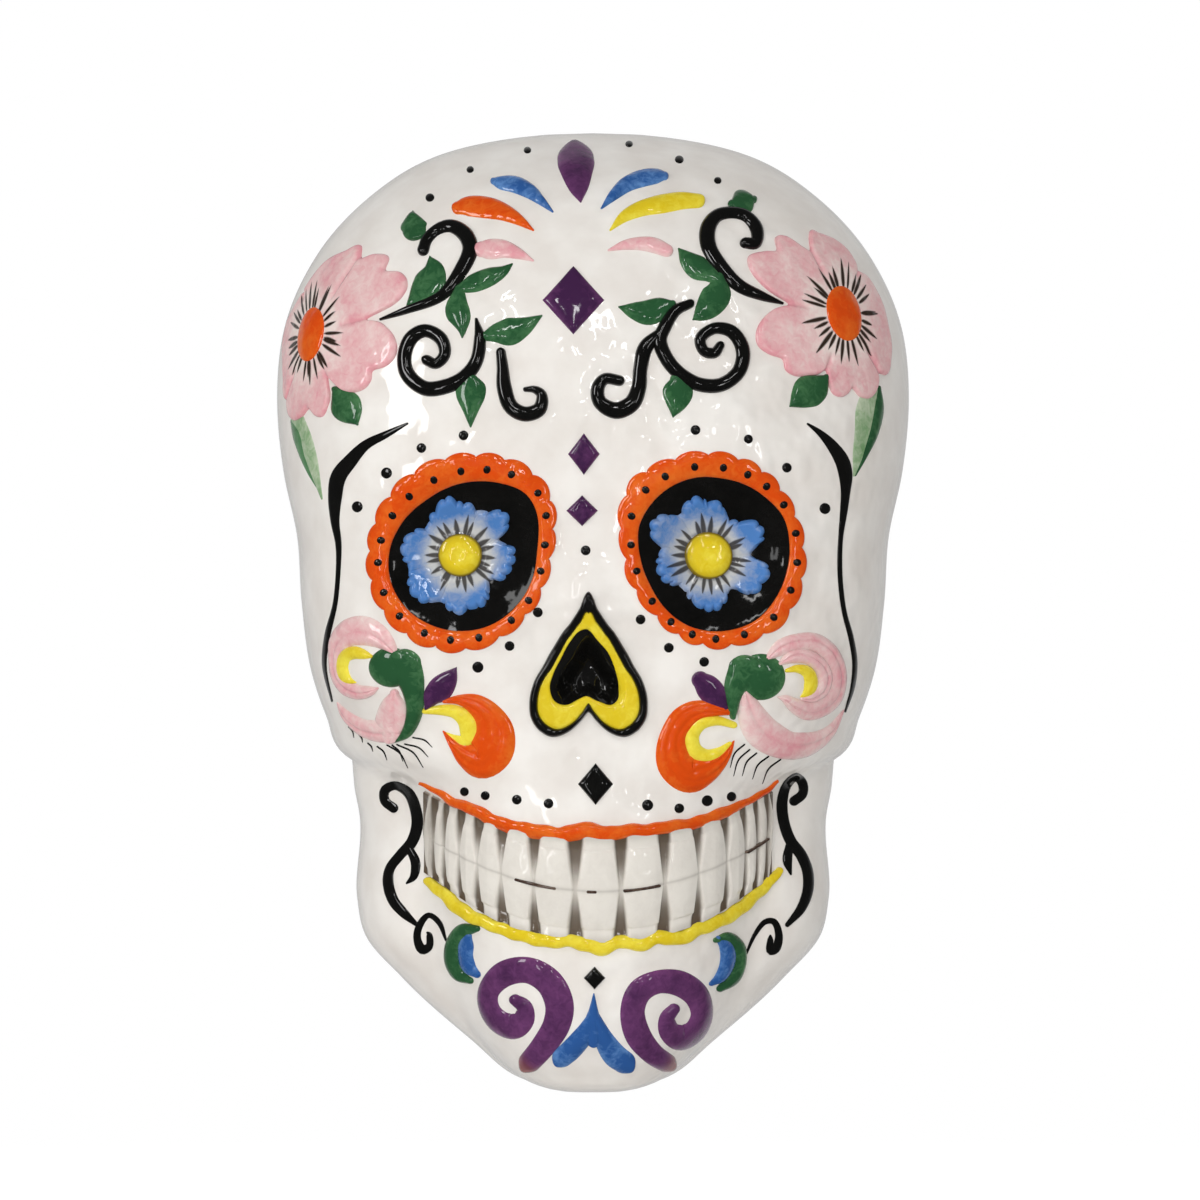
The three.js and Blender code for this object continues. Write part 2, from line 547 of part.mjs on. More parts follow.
// Five-petalled temple flower with notched petals, and its heart
const TEMPLE_FLOWERS = {
  left: { x: -79.5, z: 219, radius: 31, height: 26.5, heart: 7, turn: 0.55 },
  right: { x: 71.5, z: 224.5, radius: 31, height: 26, heart: 7.2, turn: 0.1 },
};
const PETALS = 5;
const PETAL_CLEFT = 0.62; // reach between two petals against a petal's tip
const PETAL_NOTCH = { depth: 0.1, spread: 0.22 };
function petalShare(angle) {
  const sweep = (2 * Math.PI) / PETALS;
  const off = ((((angle % sweep) + sweep) % sweep) - sweep / 2) / (sweep / 2);
  const lobe = PETAL_CLEFT + (1 - PETAL_CLEFT) * Math.sqrt(1 - off ** 4);
  return lobe * (1 - PETAL_NOTCH.depth * Math.exp(-((off / PETAL_NOTCH.spread) ** 2)));
}
function templeSprigs(side, flower) {
  const outward = Math.sign(flower.x);
  const middle = girthShare(flower.x, flower.z);
  const whole = girth(flower.z)[GIRTH_STEPS].run;
  const wrap = (angle, radius, height) => {
    const way = angle + flower.turn;
    const z = flower.z + height * Math.sin(way);
    return [outward * atGirth(middle + (radius * Math.cos(way)) / whole, z), z];
  };
  const heartHeight = (flower.heart * flower.height) / flower.radius;
  return [
    { name: `temple_flower_heart_${side}`, glaze: "orange", spokes: 18, rings: 2, hole: false,
      at: (angle, share, grow) => wrap(angle, (flower.heart + grow) * share, (heartHeight + grow) * share),
      lift: domed(FLOWER_HEART_RELIEF) },
    { name: `temple_flower_${side}`, glaze: "pink", spokes: 6 * PETALS, rings: 3, hole: true,
      at: (angle, share, grow) => {
        const reach = petalShare(angle);
        const from = flower.heart + NEST - grow;
        const fromHeight = heartHeight + NEST - grow;
        const radius = from + (flower.radius * reach + grow - from) * share;
        const height = fromHeight + (flower.height * reach + grow - fromHeight) * share;
        return wrap(angle, radius, height);
      },
      lift: domed(PETAL_RELIEF) },
  ];
}

// Brush-stroke sprigs: spine points as [x, z, half width]
const stroke = (name, glaze, relief, ...spines) => ({ name, glaze, relief, spines });
const diamond = (name, glaze, x, z, halfWidth, halfHeight) => ({
  name, glaze, relief: DIAMOND_RELIEF, straight: true,
  spines: [[[x, z + halfHeight, 0.3], [x, z, halfWidth], [x, z - halfHeight, 0.3]]],
});

const crownSprigs = [
  stroke("crown_drop_purple", "purple", DROP_RELIEF,
    [[-3.5, 257, 0.3], [-4, 260.5, 2.6], [-4.5, 265, 4.2], [-5, 269, 5.2], [-5, 272, 4.6],
      [-5, 274, 2.3]]),
  stroke("crown_drop_blue_left", "blue", DROP_RELIEF,
    [[-11.5, 254, 0.3], [-15, 257.5, 1.4], [-18.5, 260.5, 2.3], [-22.5, 262.5, 2.6], [-26.5, 263, 2],
      [-28.5, 263.5, 1]]),
  stroke("crown_drop_blue_right", "blue", DROP_RELIEF,
    [[2.5, 255, 0.3], [6, 259, 1.6], [10, 262.5, 2.4], [15, 264.5, 2.7], [18.5, 265, 2.3],
      [20.5, 265, 1.3]]),
  stroke("crown_drop_orange", "orange", DROP_RELIEF,
    [[-17, 248.5, 0.3], [-21, 251.5, 1.6], [-25.5, 254, 2.6], [-30.5, 255.5, 3.3], [-36, 256, 3],
      [-38.5, 255.5, 2]]),
  stroke("crown_drop_yellow", "yellow", DROP_RELIEF,
    [[5, 248.5, 0.3], [9, 252.5, 1.7], [14, 255, 2.4], [20, 256.5, 2.9], [25.5, 257.5, 2.7],
      [30, 257.5, 2.2]]),
  stroke("crown_drop_pink_left", "pink", DROP_RELIEF,
    [[-17, 239.5, 0.3], [-21, 241.5, 1.6], [-25.5, 243, 2.7], [-29.5, 243, 3], [-31.5, 243, 2.4]]),
  stroke("crown_drop_pink_right", "pink", DROP_RELIEF,
    [[4.5, 242.5, 0.3], [9, 244, 1.4], [13.5, 244.5, 2], [17.5, 244, 2.3], [21, 242.5, 1.9]]),
  diamond("brow_diamond_large", "purple", -5.5, 228, 8.8, 9.8),
  diamond("brow_diamond_upper", "purple", -2.5, 184.2, 4.5, 5.8),
  diamond("brow_diamond_lower", "purple", -3, 168.2, 4.5, 4.3),
];

const foreheadSprigs = [
  stroke("vine_left", "black", SCROLL_RELIEF,
    [[-60.5, 223, 0.3], [-53, 225.5, 0.9], [-43, 229.5, 1.3], [-38, 236, 1.7], [-35, 243, 1.9],
      [-36.5, 247.5, 1.9], [-40.5, 250, 1.6], [-44.5, 249, 1.3], [-47.5, 246, 1.3], [-48.5, 243, 1.4]]),
  stroke("scroll_left", "black", SCROLL_RELIEF,
    [[-33, 222.5, 0.4], [-32, 217, 1.4], [-33, 210.5, 1.6], [-36.5, 206, 1.7], [-41.5, 203.5, 1.8],
      [-47.5, 203, 1.8], [-52.5, 207, 1.8], [-53.5, 212, 1.7], [-51.5, 217.5, 1.7], [-47.5, 219.5, 1.6],
      [-43, 217, 1.6], [-42, 212.5, 1.4], [-44.5, 210, 1.3], [-47, 211, 1.3]]),
  stroke("hook_left", "black", SCROLL_RELIEF,
    [[-26, 213, 1.2], [-25.5, 209, 1.4], [-25, 203, 1.8], [-23, 197.5, 1.8], [-19, 195.5, 1.8],
      [-15, 197, 1.7], [-14.5, 201, 1.3], [-16.5, 202.5, 0.9], [-19, 202.5, 0.6]]),
  stroke("vine_right", "black", SCROLL_RELIEF,
    [[54, 227.5, 0.3], [48, 229.5, 1.1], [41.5, 232.5, 1.6], [36.5, 238, 1.7], [33, 244, 1.9],
      [33, 249.5, 1.9], [35.5, 253, 1.6], [39.5, 254, 1.4], [44, 253, 1.4], [47, 249, 1.6],
      [46.5, 245, 1.4], [43.5, 245, 1.3]]),
  stroke("scroll_right", "black", SCROLL_RELIEF,
    [[27.5, 227, 1.1], [23.5, 225, 1.4], [20.5, 220.5, 1.6], [19, 216.5, 1.7], [20.5, 212, 1.7],
      [24, 207.5, 1.7], [30, 204, 1.7], [36.5, 204, 1.7], [41.5, 208, 1.7], [42.5, 214, 1.7],
      [39.5, 219, 1.6], [34.5, 220, 1.4], [30.5, 217, 1.4], [31.5, 213.5, 1.3], [34.5, 213, 1.3],
      [36, 215, 1.1]],
    [[19.5, 219, 1.1], [15, 214.5, 1.8], [13.5, 208.5, 1.7], [13, 203, 1.8], [11, 198.5, 2],
      [6.5, 196.5, 2], [2, 199, 1.7], [1.5, 203, 1.6], [3.5, 205.5, 1.4], [7.5, 205, 1.3]]),
  stroke("bud_left", "green", LEAF_RELIEF,
    [[-51.5, 255, 0.3], [-51.5, 252.5, 2.3], [-51.5, 249.5, 4], [-51, 247.5, 2.6]]),
  stroke("leaf_left_upper", "green", LEAF_RELIEF,
    [[-47, 240.5, 0.3], [-46, 237, 2.9], [-47, 233.5, 4], [-50, 229.5, 2.8], [-53, 227, 0.3]]),
  stroke("leaf_pair_left", "green", LEAF_RELIEF,
    [[-37.5, 231.5, 1.4], [-34, 233, 2.7], [-29, 235, 2.7], [-25.5, 236.5, 1.6], [-23, 238.5, 0.3]],
    [[-38, 231, 1.6], [-38.5, 225.5, 3.5], [-37.5, 222.5, 3], [-37, 219.5, 1.3], [-37, 217.5, 0.3]]),
  stroke("leaf_left_inner", "green", LEAF_RELIEF,
    [[-31, 217.5, 1.1], [-27.5, 218.5, 2.8], [-23.5, 219, 4], [-19.5, 220.5, 2.8],
      [-14.5, 223.5, 0.3]]),
  stroke("leaf_left_lower", "green", LEAF_RELIEF,
    [[-34.5, 206.5, 1.4], [-34.5, 204, 4], [-34.5, 200.5, 4.1], [-34.5, 196.5, 2.3],
      [-34.5, 192, 0.3]]),
  stroke("leaf_left_temple", "green", LEAF_RELIEF,
    [[-73.5, 203, 1.1], [-72, 201, 3.4], [-70.5, 198.5, 4.6], [-68.5, 195.5, 3.4], [-67, 193, 0.4]]),
  stroke("bud_right", "green", LEAF_RELIEF,
    [[43.5, 261.5, 0.3], [43.5, 259.5, 2.3], [43.5, 258, 3.8], [43.5, 256.5, 2.6]]),
  stroke("leaf_pair_right", "green", LEAF_RELIEF,
    [[24.5, 243, 0.3], [27, 240, 2.6], [30, 237.5, 3.6], [33.5, 235.5, 2.3], [36, 233.5, 1.5]],
    [[36, 234.5, 1.6], [35.5, 230.5, 4], [33, 226.5, 3.8], [30.5, 224, 2.3], [28.5, 222.5, 0.3]]),
  stroke("leaf_right_inner", "green", LEAF_RELIEF,
    [[7.5, 226, 0.3], [11.5, 225, 2.5], [16, 224.5, 3.7], [19.5, 226, 3], [22.5, 227, 1.1]]),
  stroke("leaf_right_lower", "green", LEAF_RELIEF,
    [[23.5, 207, 1.7], [24, 204.5, 4.2], [24, 201, 4.2], [23, 198, 2.5], [23, 194.5, 0.3]]),
  stroke("leaf_right_temple", "green", LEAF_RELIEF,
    [[66.5, 206.5, 0.9], [64, 204, 4], [61, 202, 4.7], [58.5, 200, 3.1], [56, 198, 0.3]]),
];

const cheekSprigs = [
  stroke("cheek_comma_left", "green", CHEEK_RELIEF,
    [[-61, 121.5, 2.2], [-57.5, 124.5, 3.8], [-53, 123.5, 4.2], [-50.5, 118.5, 3], [-52, 113, 2],
      [-55, 107, 1.1], [-57, 102, 0.3]]),
  stroke("cheek_rose_left", "pink", CHEEK_RELIEF,
    [[-64, 126, 1.6], [-62.5, 129.5, 2], [-65.5, 133.5, 2.6], [-70.5, 132.5, 3], [-73, 126.5, 3.1],
      [-71, 119, 3.3], [-66, 113.5, 4], [-61, 109, 3.2], [-61, 104.5, 1.4]]),
  stroke("cheek_leaf_left", "purple", CHEEK_RELIEF,
    [[-48, 113, 0.3], [-45.5, 116.5, 2.6], [-42.5, 120, 3.7], [-40, 122, 2.3], [-38.5, 124.5, 0.3]]),
  stroke("cheek_paisley_left", "orange", CHEEK_RELIEF,
    [[-43, 113, 1], [-36, 115, 2.3], [-31, 113, 3.4], [-27.5, 107.5, 4.2], [-28.5, 101.5, 4.6],
      [-32.5, 99, 3.8], [-36.5, 101, 2.8], [-41, 105.5, 0.4]]),
  stroke("cheek_comma_right", "green", CHEEK_RELIEF,
    [[51, 118.5, 2.4], [49, 123, 3.8], [44, 123.5, 4], [40.5, 119, 2.8], [40, 114, 1.4],
      [40.5, 109, 0.3]]),
  stroke("cheek_rose_right", "pink", CHEEK_RELIEF,
    [[54.5, 127.5, 1.6], [60, 129.5, 2.8], [65.5, 125.5, 3.3], [68, 118, 3.4], [65.5, 109.5, 3.6],
      [58.5, 104, 4], [50, 104, 4], [44.5, 108.5, 3], [44, 112.5, 1.4]]),
  stroke("cheek_leaf_right", "purple", CHEEK_RELIEF,
    [[28.5, 120.5, 0.4], [31, 119.5, 2.3], [33.5, 117.5, 2.8], [35.5, 115.5, 2], [36.5, 113.5, 0.3]]),
  stroke("cheek_paisley_right", "orange", CHEEK_RELIEF,
    [[31, 113, 1.2], [25, 107.5, 2.6], [21, 101.5, 3.6], [22.5, 95.5, 4.2], [28.5, 95, 3.8],
      [34, 98.5, 2.8], [38, 103.5, 1.6], [38.5, 108, 0.4]]),
];

// Lip bands follow the lip lines and taper at their ends
const LIP_ENDS = { from: -49, to: 53 };
const LIP_HALF_WIDTH = 1.8;
const LIP_TIP = 0.3; // width at the ends against the middle
const LIP_STEPS = 16;
function lipBand(name, glaze, line) {
  const spine = Array.from({ length: LIP_STEPS + 1 }, (_, i) => {
    const share = i / LIP_STEPS;
    const x = THREE.MathUtils.lerp(LIP_ENDS.from, LIP_ENDS.to, share);
    const fullness = Math.sqrt(Math.sin(Math.PI * share));
    return [x, along(line, x), LIP_HALF_WIDTH * THREE.MathUtils.lerp(LIP_TIP, 1, fullness)];
  });
  return { ...stroke(name, glaze, LIP_RELIEF, spine), straight: true };
}
const mouthSprigs = [
  lipBand("lip_upper", "orange", UPPER_LIP),
  lipBand("lip_lower", "yellow", LOWER_LIP),
  diamond("lip_diamond", "black", 0.8, 91, 4.5, 5.5),
];

const chinSprigs = [
  stroke("chin_fleur", "blue", CHIN_RELIEF,
    [[0.7, 31.5, 0.4], [-1, 26, 1.7], [-3.5, 21, 3], [-6.5, 16, 3.6], [-8.5, 12.5, 2.6]],
    [[0.7, 31.5, 0.4], [2, 25, 1.7], [4.5, 18.5, 2.8], [7, 13.5, 3.8], [9, 10.5, 2.8]]),
  stroke("chin_spiral_left", "purple", CHIN_RELIEF,
    [[-18, 9.5, 1.1], [-13.5, 14.5, 2.2], [-10.5, 21.5, 2.6], [-10.5, 28, 2.8], [-13.5, 33, 2.8],
      [-18.5, 36, 3], [-24.5, 36.5, 3], [-29, 33, 3], [-30, 27.5, 2.7], [-27, 22.5, 2.5],
      [-22.5, 21.5, 2], [-20.5, 25, 1.6], [-22, 28.5, 1.4]]),
  stroke("chin_spiral_right", "purple", CHIN_RELIEF,
    [[22, 10.5, 1.2], [18, 13.5, 2.1], [13.5, 18.5, 2.6], [11.5, 24.5, 2.8], [13, 30, 2.8], [18, 34, 3],
      [25, 35, 3], [30, 32, 2.9], [31.5, 26.5, 2.6], [29.5, 21, 2.4], [25, 18.5, 2], [22, 21.5, 1.6],
      [22.5, 25.5, 1.4]]),
  stroke("chin_crescent_left", "green", CHIN_RELIEF,
    [[-33, 50, 0.6], [-37, 47.5, 2.6], [-39, 43, 3.1], [-38, 38, 3.1], [-33, 34.5, 0.9]]),
  stroke("chin_crescent_right", "green", CHIN_RELIEF,
    [[34.5, 47, 0.6], [38.5, 46, 2.6], [41.5, 41.5, 2.9], [40.5, 36.5, 3.2], [35.5, 31, 0.9]]),
  diamond("chin_diamond", "black", 0.5, 36, 2.8, 3),
];

// Two rows of teeth, each one strip that drops to the gum between two teeth
const TOOTH_GAPS = [-46.5, -42.5, -38.5, -33, -26.5, -17.5, -6, 6.5, 17.5, 27.5, 35, 40.5, 45, 48.5];
const TOOTH_SPACE = 1;
const LIP_CLEARANCE = 2.6;
const BITE_CLEARANCE = 0.6;
const TOOTH_PROFILE = [[0, 0.55], [0.3, 1], [0.85, 0.95], [1, 0.6]]; // [share to the bite, relief share]
function toothRow(name, lip, down) {
  const stops = TOOTH_GAPS.slice(1).flatMap((right, i) => [
    { x: TOOTH_GAPS[i], high: 0 },
    { x: TOOTH_GAPS[i] + TOOTH_SPACE, high: 1 },
    { x: right - TOOTH_SPACE, high: 1 },
  ]);
  stops.push({ x: TOOTH_GAPS[TOOTH_GAPS.length - 1], high: 0 });
  const at = ({ x }, share, grow) => {
    const gumEnd = along(lip, x) - down * (LIP_CLEARANCE - grow);
    const biteEnd = along(BITE, x) + down * (BITE_CLEARANCE - grow);
    return [x, THREE.MathUtils.lerp(gumEnd, biteEnd, share)];
  };
  const profile = new Map(TOOTH_PROFILE);
  const lift = ({ high }, share) => {
    return THREE.MathUtils.lerp(GUM_RELIEF, TOOTH_RELIEF * profile.get(share), high);
  };
  return { name, glaze: "white", stops, shares: [...profile.keys()], at, lift };
}

// Build every sprig in turn: trim it to the skin and to the sprigs laid before it
const GLAZES = {
  white: 0xe9e6e2, clay: 0xd8cdbf, orange: 0xf0590f, yellow: 0xf2d81e, purple: 0x4f2158, green: 0x2c6b3f,
  blue: 0x3a76c8, paleBlue: 0x8fb4e0, pink: 0xeba8b4, black: 0x141210,
};
const GLOSS = 0.18;
const glazes = Object.fromEntries(Object.entries(GLAZES).map(([name, color]) => [
  name, new THREE.MeshStandardMaterial({ name, color, roughness: GLOSS, metalness: 0 }),
]));

const group = new THREE.Group();
group.name = "sugar_skull_wall_mask";

function addMesh(name, solid, glaze) {
  const { vertProperties, triVerts } = solid.simplify(FACET_TOLERANCE).getMesh();
  const geometry = new THREE.BufferGeometry();
  geometry.setAttribute("position", new THREE.BufferAttribute(new Float32Array(vertProperties), 3));
  geometry.setIndex(new THREE.BufferAttribute(new Uint32Array(triVerts), 1));
  const mesh = new THREE.Mesh(geometry, glazes[glaze]);
  mesh.name = name;
  group.add(mesh);
}

function drawSprig(sprig, grow) {
  if (sprig.stops) return patchSolid(sprig, grow);
  if (sprig.at) return rosetteSolid(sprig, grow);
  const strokes = sprig.spines.map((spine) => strokeSolid(spine, sprig.relief, grow, sprig.straight));
  return strokes.reduce((whole, next) => whole.add(next));
}

const largest = (solid) => solid.decompose().reduce((a, b) => (a.volume() >= b.volume() ? a : b));
const boxesMeet = (a, b) => {
  return [0, 1, 2].every((axis) => a.min[axis] <= b.max[axis] && b.min[axis] <= a.max[axis]);
};

const sprigs = [
  ...foreheadSprigs,
  ...crownSprigs,
  ...Object.entries(TEMPLE_FLOWERS).flatMap(([side, flower]) => templeSprigs(side, flower)),
  ...Object.entries(EYES).flatMap(([side, eye]) => eyeSprigs(side, eye)),
  ...noseSprigs,
  ...cheekSprigs,
  ...mouthSprigs,
  toothRow("teeth_upper", UPPER_LIP, 1),
  toothRow("teeth_lower", LOWER_LIP, -1),
  ...chinSprigs,
];

addMesh("skull_shell", shell, "white");
addMesh("hanging_web", hangingWeb, "clay");
const laid = [];
for (const sprig of sprigs) {
  let solid = drawSprig(sprig, 0).subtract(bodyWithSeam);
  const box = solid.boundingBox();
  for (const earlier of laid) {
    if (boxesMeet(box, earlier.boundingBox())) solid = solid.subtract(earlier);
  }
  addMesh(sprig.name, largest(solid), sprig.glaze);
  laid.push(drawSprig(sprig, SEAM));
}

// The nail bears on the top of the hole, on the wall plane: that point is the origin
group.position.z = -(SKULL_HEIGHT - NAIL_HOLE_DROP + NAIL_HOLE_DIAMETER / 2);

export default group;
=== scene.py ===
# %% [markdown]
# # A hand-painted sugar skull for the wall
# The real object is an open-backed earthenware mask: a white shell cast in a mould, raised ornament
# painted in bright underglaze colours, and one clear gloss glaze over everything. The CAD model holds
# its plain solids. This lesson lays a finer surface over each of them, in metres and in the same frame,
# and gives every surface its glaze.

import bmesh
import bpy
import numpy as np
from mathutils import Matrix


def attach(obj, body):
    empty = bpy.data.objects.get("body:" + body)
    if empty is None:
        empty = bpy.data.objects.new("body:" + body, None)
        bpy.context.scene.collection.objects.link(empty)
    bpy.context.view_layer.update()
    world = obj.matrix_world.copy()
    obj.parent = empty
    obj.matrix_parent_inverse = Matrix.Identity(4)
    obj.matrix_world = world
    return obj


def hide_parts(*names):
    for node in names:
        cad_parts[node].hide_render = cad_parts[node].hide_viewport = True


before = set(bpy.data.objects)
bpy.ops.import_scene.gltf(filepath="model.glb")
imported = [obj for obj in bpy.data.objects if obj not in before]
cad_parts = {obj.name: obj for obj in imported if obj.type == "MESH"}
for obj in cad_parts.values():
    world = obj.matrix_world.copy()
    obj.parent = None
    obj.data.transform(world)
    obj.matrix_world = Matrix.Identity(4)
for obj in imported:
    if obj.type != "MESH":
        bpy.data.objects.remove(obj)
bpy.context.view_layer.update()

# %% [markdown]
# ## One drawing for every piece
# A modeller draws a mask from the front before making its mould. Here that drawing is in millimetres: x
# from the midline, z from the chin, and a depth off the wall. The frame counts z from the nail that the
# mask hangs on, so one function takes a drawn point to the frame. Two more helpers draw smooth curves
# and soft steps.

# %% From the drawing to the frame
MM = 0.001
HEIGHT = 280.0  # chin to crown
NAIL_HEIGHT = 250.0  # the nail bears here, at the frame's origin


def to_frame(x, depth, z):
    """Drawn point in metres: x stays, depth runs along -Y, and z is counted from the nail."""
    x, depth, z = np.broadcast_arrays(x, depth, z)
    return np.stack([x, -depth, z - NAIL_HEIGHT], axis=-1) * MM


def smooth(value, start, end):
    """S-curve from 0 at start to 1 at end: 3t^2 - 2t^3 of the share t between them."""
    t = np.clip((value - start) / (end - start), 0, 1)
    return t * t * (3 - 2 * t)


def as_is(key):
    """Keys that are used as they are written."""
    return np.asarray(key, float)


def through_keys(keys, place=as_is):
    """Smooth curve through [key, value] pairs: cubics whose slope at a key is its neighbours' mean."""
    keys = np.asarray(keys, float)
    at, value = place(keys[:, 0]), keys[:, 1]
    gap = np.diff(at)
    slope = np.diff(value) / gap
    inner = (slope[:-1] * gap[1:] + slope[1:] * gap[:-1]) / (gap[:-1] + gap[1:])
    tangent = np.concatenate([slope[:1], inner, slope[-1:]])

    def curve(key):
        """Value at a key: both ends of its span and the slopes there, blended as a cubic."""
        q = np.clip(place(key), at[0], at[-1])
        i = np.clip(np.searchsorted(at, q) - 1, 0, len(gap) - 1)
        t = (q - at[i]) / gap[i]
        rest = 1 - t
        ends = value[i] * (1 + 2 * t) * rest**2 + value[i + 1] * t**2 * (3 - 2 * t)
        return ends + gap[i] * t * rest * (tangent[i] * rest - tangent[i + 1] * t)

    return curve


print("nail in the frame:", to_frame(0.0, 0.0, NAIL_HEIGHT))

# %% [markdown]
# ## The plain head
# The head is a stack of superellipses, one per height, each with its own half width, depth and
# squareness. A second, lower stack gives the wide jaw behind the narrower muzzle, and the two are
# blended with a high power, which acts like a soft maximum. Sculpting would give the same form, but a
# formula lets every ornament ask for the exact skin under it.

# %% Sections of the head and the jaw
HEAD_HALF_WIDTHS = [
    [0, 0], [3.5, 19], [15, 33], [30, 44], [45, 50], [58, 52.5], [80, 54], [90, 60], [98, 73], [109, 78],
    [121, 82], [142, 85], [161, 86.3], [180, 90.4], [203, 92.5], [222, 90.6], [244, 81], [262, 64.5],
    [273.5, 45], [280, 0],
]
HEAD_DEPTHS = [
    [0, 0], [2, 46], [8, 58], [15, 63], [30, 68], [45, 72], [60, 76], [80, 76], [98, 74], [121, 74],
    [142, 75], [161, 75], [180, 76], [203, 75], [222, 71], [244, 60], [262, 44], [273.5, 25], [280, 0],
]
HEAD_SQUARENESS = [
    [0, 3.2], [15, 2.8], [30, 2.4], [60, 2.2], [90, 2.3], [121, 2.9], [150, 3.2], [180, 2.8], [203, 2.45],
    [222, 2.3], [262, 2.1], [280, 2],
]
JAW_HALF_WIDTHS = [
    [0, 0], [3.5, 21], [15, 36], [33, 56], [45, 66.5], [56, 69], [80, 68.3], [90, 70], [100, 69.5],
    [115, 54], [130, 30], [140, 0],
]
JAW_DEPTHS = [
    [0, 0], [2, 26], [15, 42], [33, 47], [45, 48], [58, 47], [80, 45], [95, 42], [110, 35], [125, 20],
    [140, 0],
]
JAW_SQUARENESS = 3.2
JAW_TOP = 140
JAW_BLEND = 8  # higher is a tighter crease between jaw and head


def round_height(z):
    """Height as an angle round the drawing, so that chin and crown close roundly."""
    return np.arccos(np.clip(1 - 2 * np.asarray(z, float) / HEIGHT, -1, 1))


head_half_width = through_keys(HEAD_HALF_WIDTHS, round_height)
head_depth = through_keys(HEAD_DEPTHS, round_height)
head_squareness = through_keys(HEAD_SQUARENESS, round_height)
jaw_half_width = through_keys(JAW_HALF_WIDTHS, round_height)
jaw_depth = through_keys(JAW_DEPTHS, round_height)


def section_depth(x, half_width, depth, squareness):
    """Superellipse: depth * (1 - |x / half width|^n)^(1/n), and 0 outside it."""
    share = np.clip(np.abs(x) / np.maximum(half_width, 1e-6), 0, 1)
    return np.maximum(depth, 0) * (1 - share**squareness) ** (1 / squareness)


def half_width(z):
    """Half width of the outline: the wider of head and jaw."""
    jaw = np.where(z < JAW_TOP, jaw_half_width(z), 0)
    return np.maximum(np.maximum(head_half_width(z), jaw), 0)


def plain_depth(x, z):
    """Head and jaw sections, blended as (head^n + jaw^n)^(1/n)."""
    head = section_depth(x, head_half_width(z), head_depth(z), head_squareness(z))
    jaw = np.where(z < JAW_TOP, section_depth(x, jaw_half_width(z), jaw_depth(z), JAW_SQUARENESS), 0)
    return (head**JAW_BLEND + jaw**JAW_BLEND) ** (1 / JAW_BLEND)


print("depth at the brow in mm:", float(plain_depth(0.0, 180.0)))

# %% [markdown]
# ## Eye sockets
# The face is worked into the plain head as steps out and in. The first are the sockets: two tilted
# ovals, each a shallow bowl with a soft rim. They could be cut with a boolean, but a step in the depth
# keeps the skin one smooth surface that ornament can be laid on.

# %% Eye sockets
EYES = {
    "left": {"x": -37.5, "z": 156.0, "tilt": 0.35},
    "right": {"x": 33.8, "z": 156.5, "tilt": -0.35},
}
EYE_STRETCH = 1.04
SOCKET_RADIUS = 21.4
SOCKET_DEPTH, SOCKET_RIM = 7.0, 1.5
SOCKET_FLOOR, SOCKET_EDGE = 0.3, 1.06  # shares of the radius where the bowl levels out and where it ends
RIM_AT, RIM_SPREAD = 1.15, 0.2  # shares of the radius


def eye_share(eye, x, z):
    """Distance from an eye's middle in its own tilted oval, 1 at the edge of the socket."""
    dx, dz = x - eye["x"], z - eye["z"]
    across = dx * np.cos(eye["tilt"]) - dz * np.sin(eye["tilt"])
    up = dx * np.sin(eye["tilt"]) + dz * np.cos(eye["tilt"])
    return np.hypot(across, up / EYE_STRETCH) / SOCKET_RADIUS


def sockets(x, z):
    """Each socket is a shallow bowl with a low bell-shaped rim round it."""
    step = 0.0
    for eye in EYES.values():
        share = eye_share(eye, x, z)
        rim = SOCKET_RIM * np.exp(-(((share - RIM_AT) / RIM_SPREAD) ** 2))
        step = step - SOCKET_DEPTH * (1 - smooth(share, SOCKET_FLOOR, SOCKET_EDGE)) + rim
    return step


print("step at the middle of an eye in mm:", float(sockets(EYES["left"]["x"], EYES["left"]["z"])))

# %% [markdown]
# ## Nose cavity
# The nose is shaped like an upturned heart. Its outline is a radius by the angle from the top, the same
# on both sides, and a soft ridge up its lower middle parts the two nostrils.

# %% Nose cavity
NOSE_X, NOSE_Z = -1.2, 121.0
NOSE_DEPTH = 7.0
NOSE_FLOOR, NOSE_EDGE = 0.3, 1.15  # shares of the cavity's outline
SEPTUM_RISE, SEPTUM_SPREAD = 2.4, 3.2
SEPTUM_TOP, SEPTUM_FADE = 5.0, 9.0  # height above the middle of the nose, and the way down to full size
NOSE_CAVITY = [
    [0, 13.6], [12, 11], [30, 8.3], [57, 7.4], [95, 9.2], [118, 11], [133, 11.2], [148, 8.9], [165, 5.8],
    [180, 4.6],
]
nose_cavity = through_keys(NOSE_CAVITY)


def nose(x, z):
    """Bowl with an outline by the angle from the top of the nose, and a soft ridge up its lower middle."""
    from_top = np.degrees(np.arctan2(np.abs(x - NOSE_X), z - NOSE_Z))
    share = np.hypot(x - NOSE_X, z - NOSE_Z) / nose_cavity(from_top)
    ridge = np.exp(-(((x - NOSE_X) / SEPTUM_SPREAD) ** 2))
    ridge = ridge * smooth(NOSE_Z + SEPTUM_TOP - z, 0, SEPTUM_FADE)
    return (SEPTUM_RISE * ridge - NOSE_DEPTH) * (1 - smooth(share, NOSE_FLOOR, NOSE_EDGE))


print("step at the middle of the nose in mm:", float(nose(NOSE_X, NOSE_Z)))

# %% [markdown]
# ## Bite
# The mouth is a band between two lip lines, set back a little so that the teeth stand in it. Each line
# is a parabola, which follows the smile closely with only three numbers.

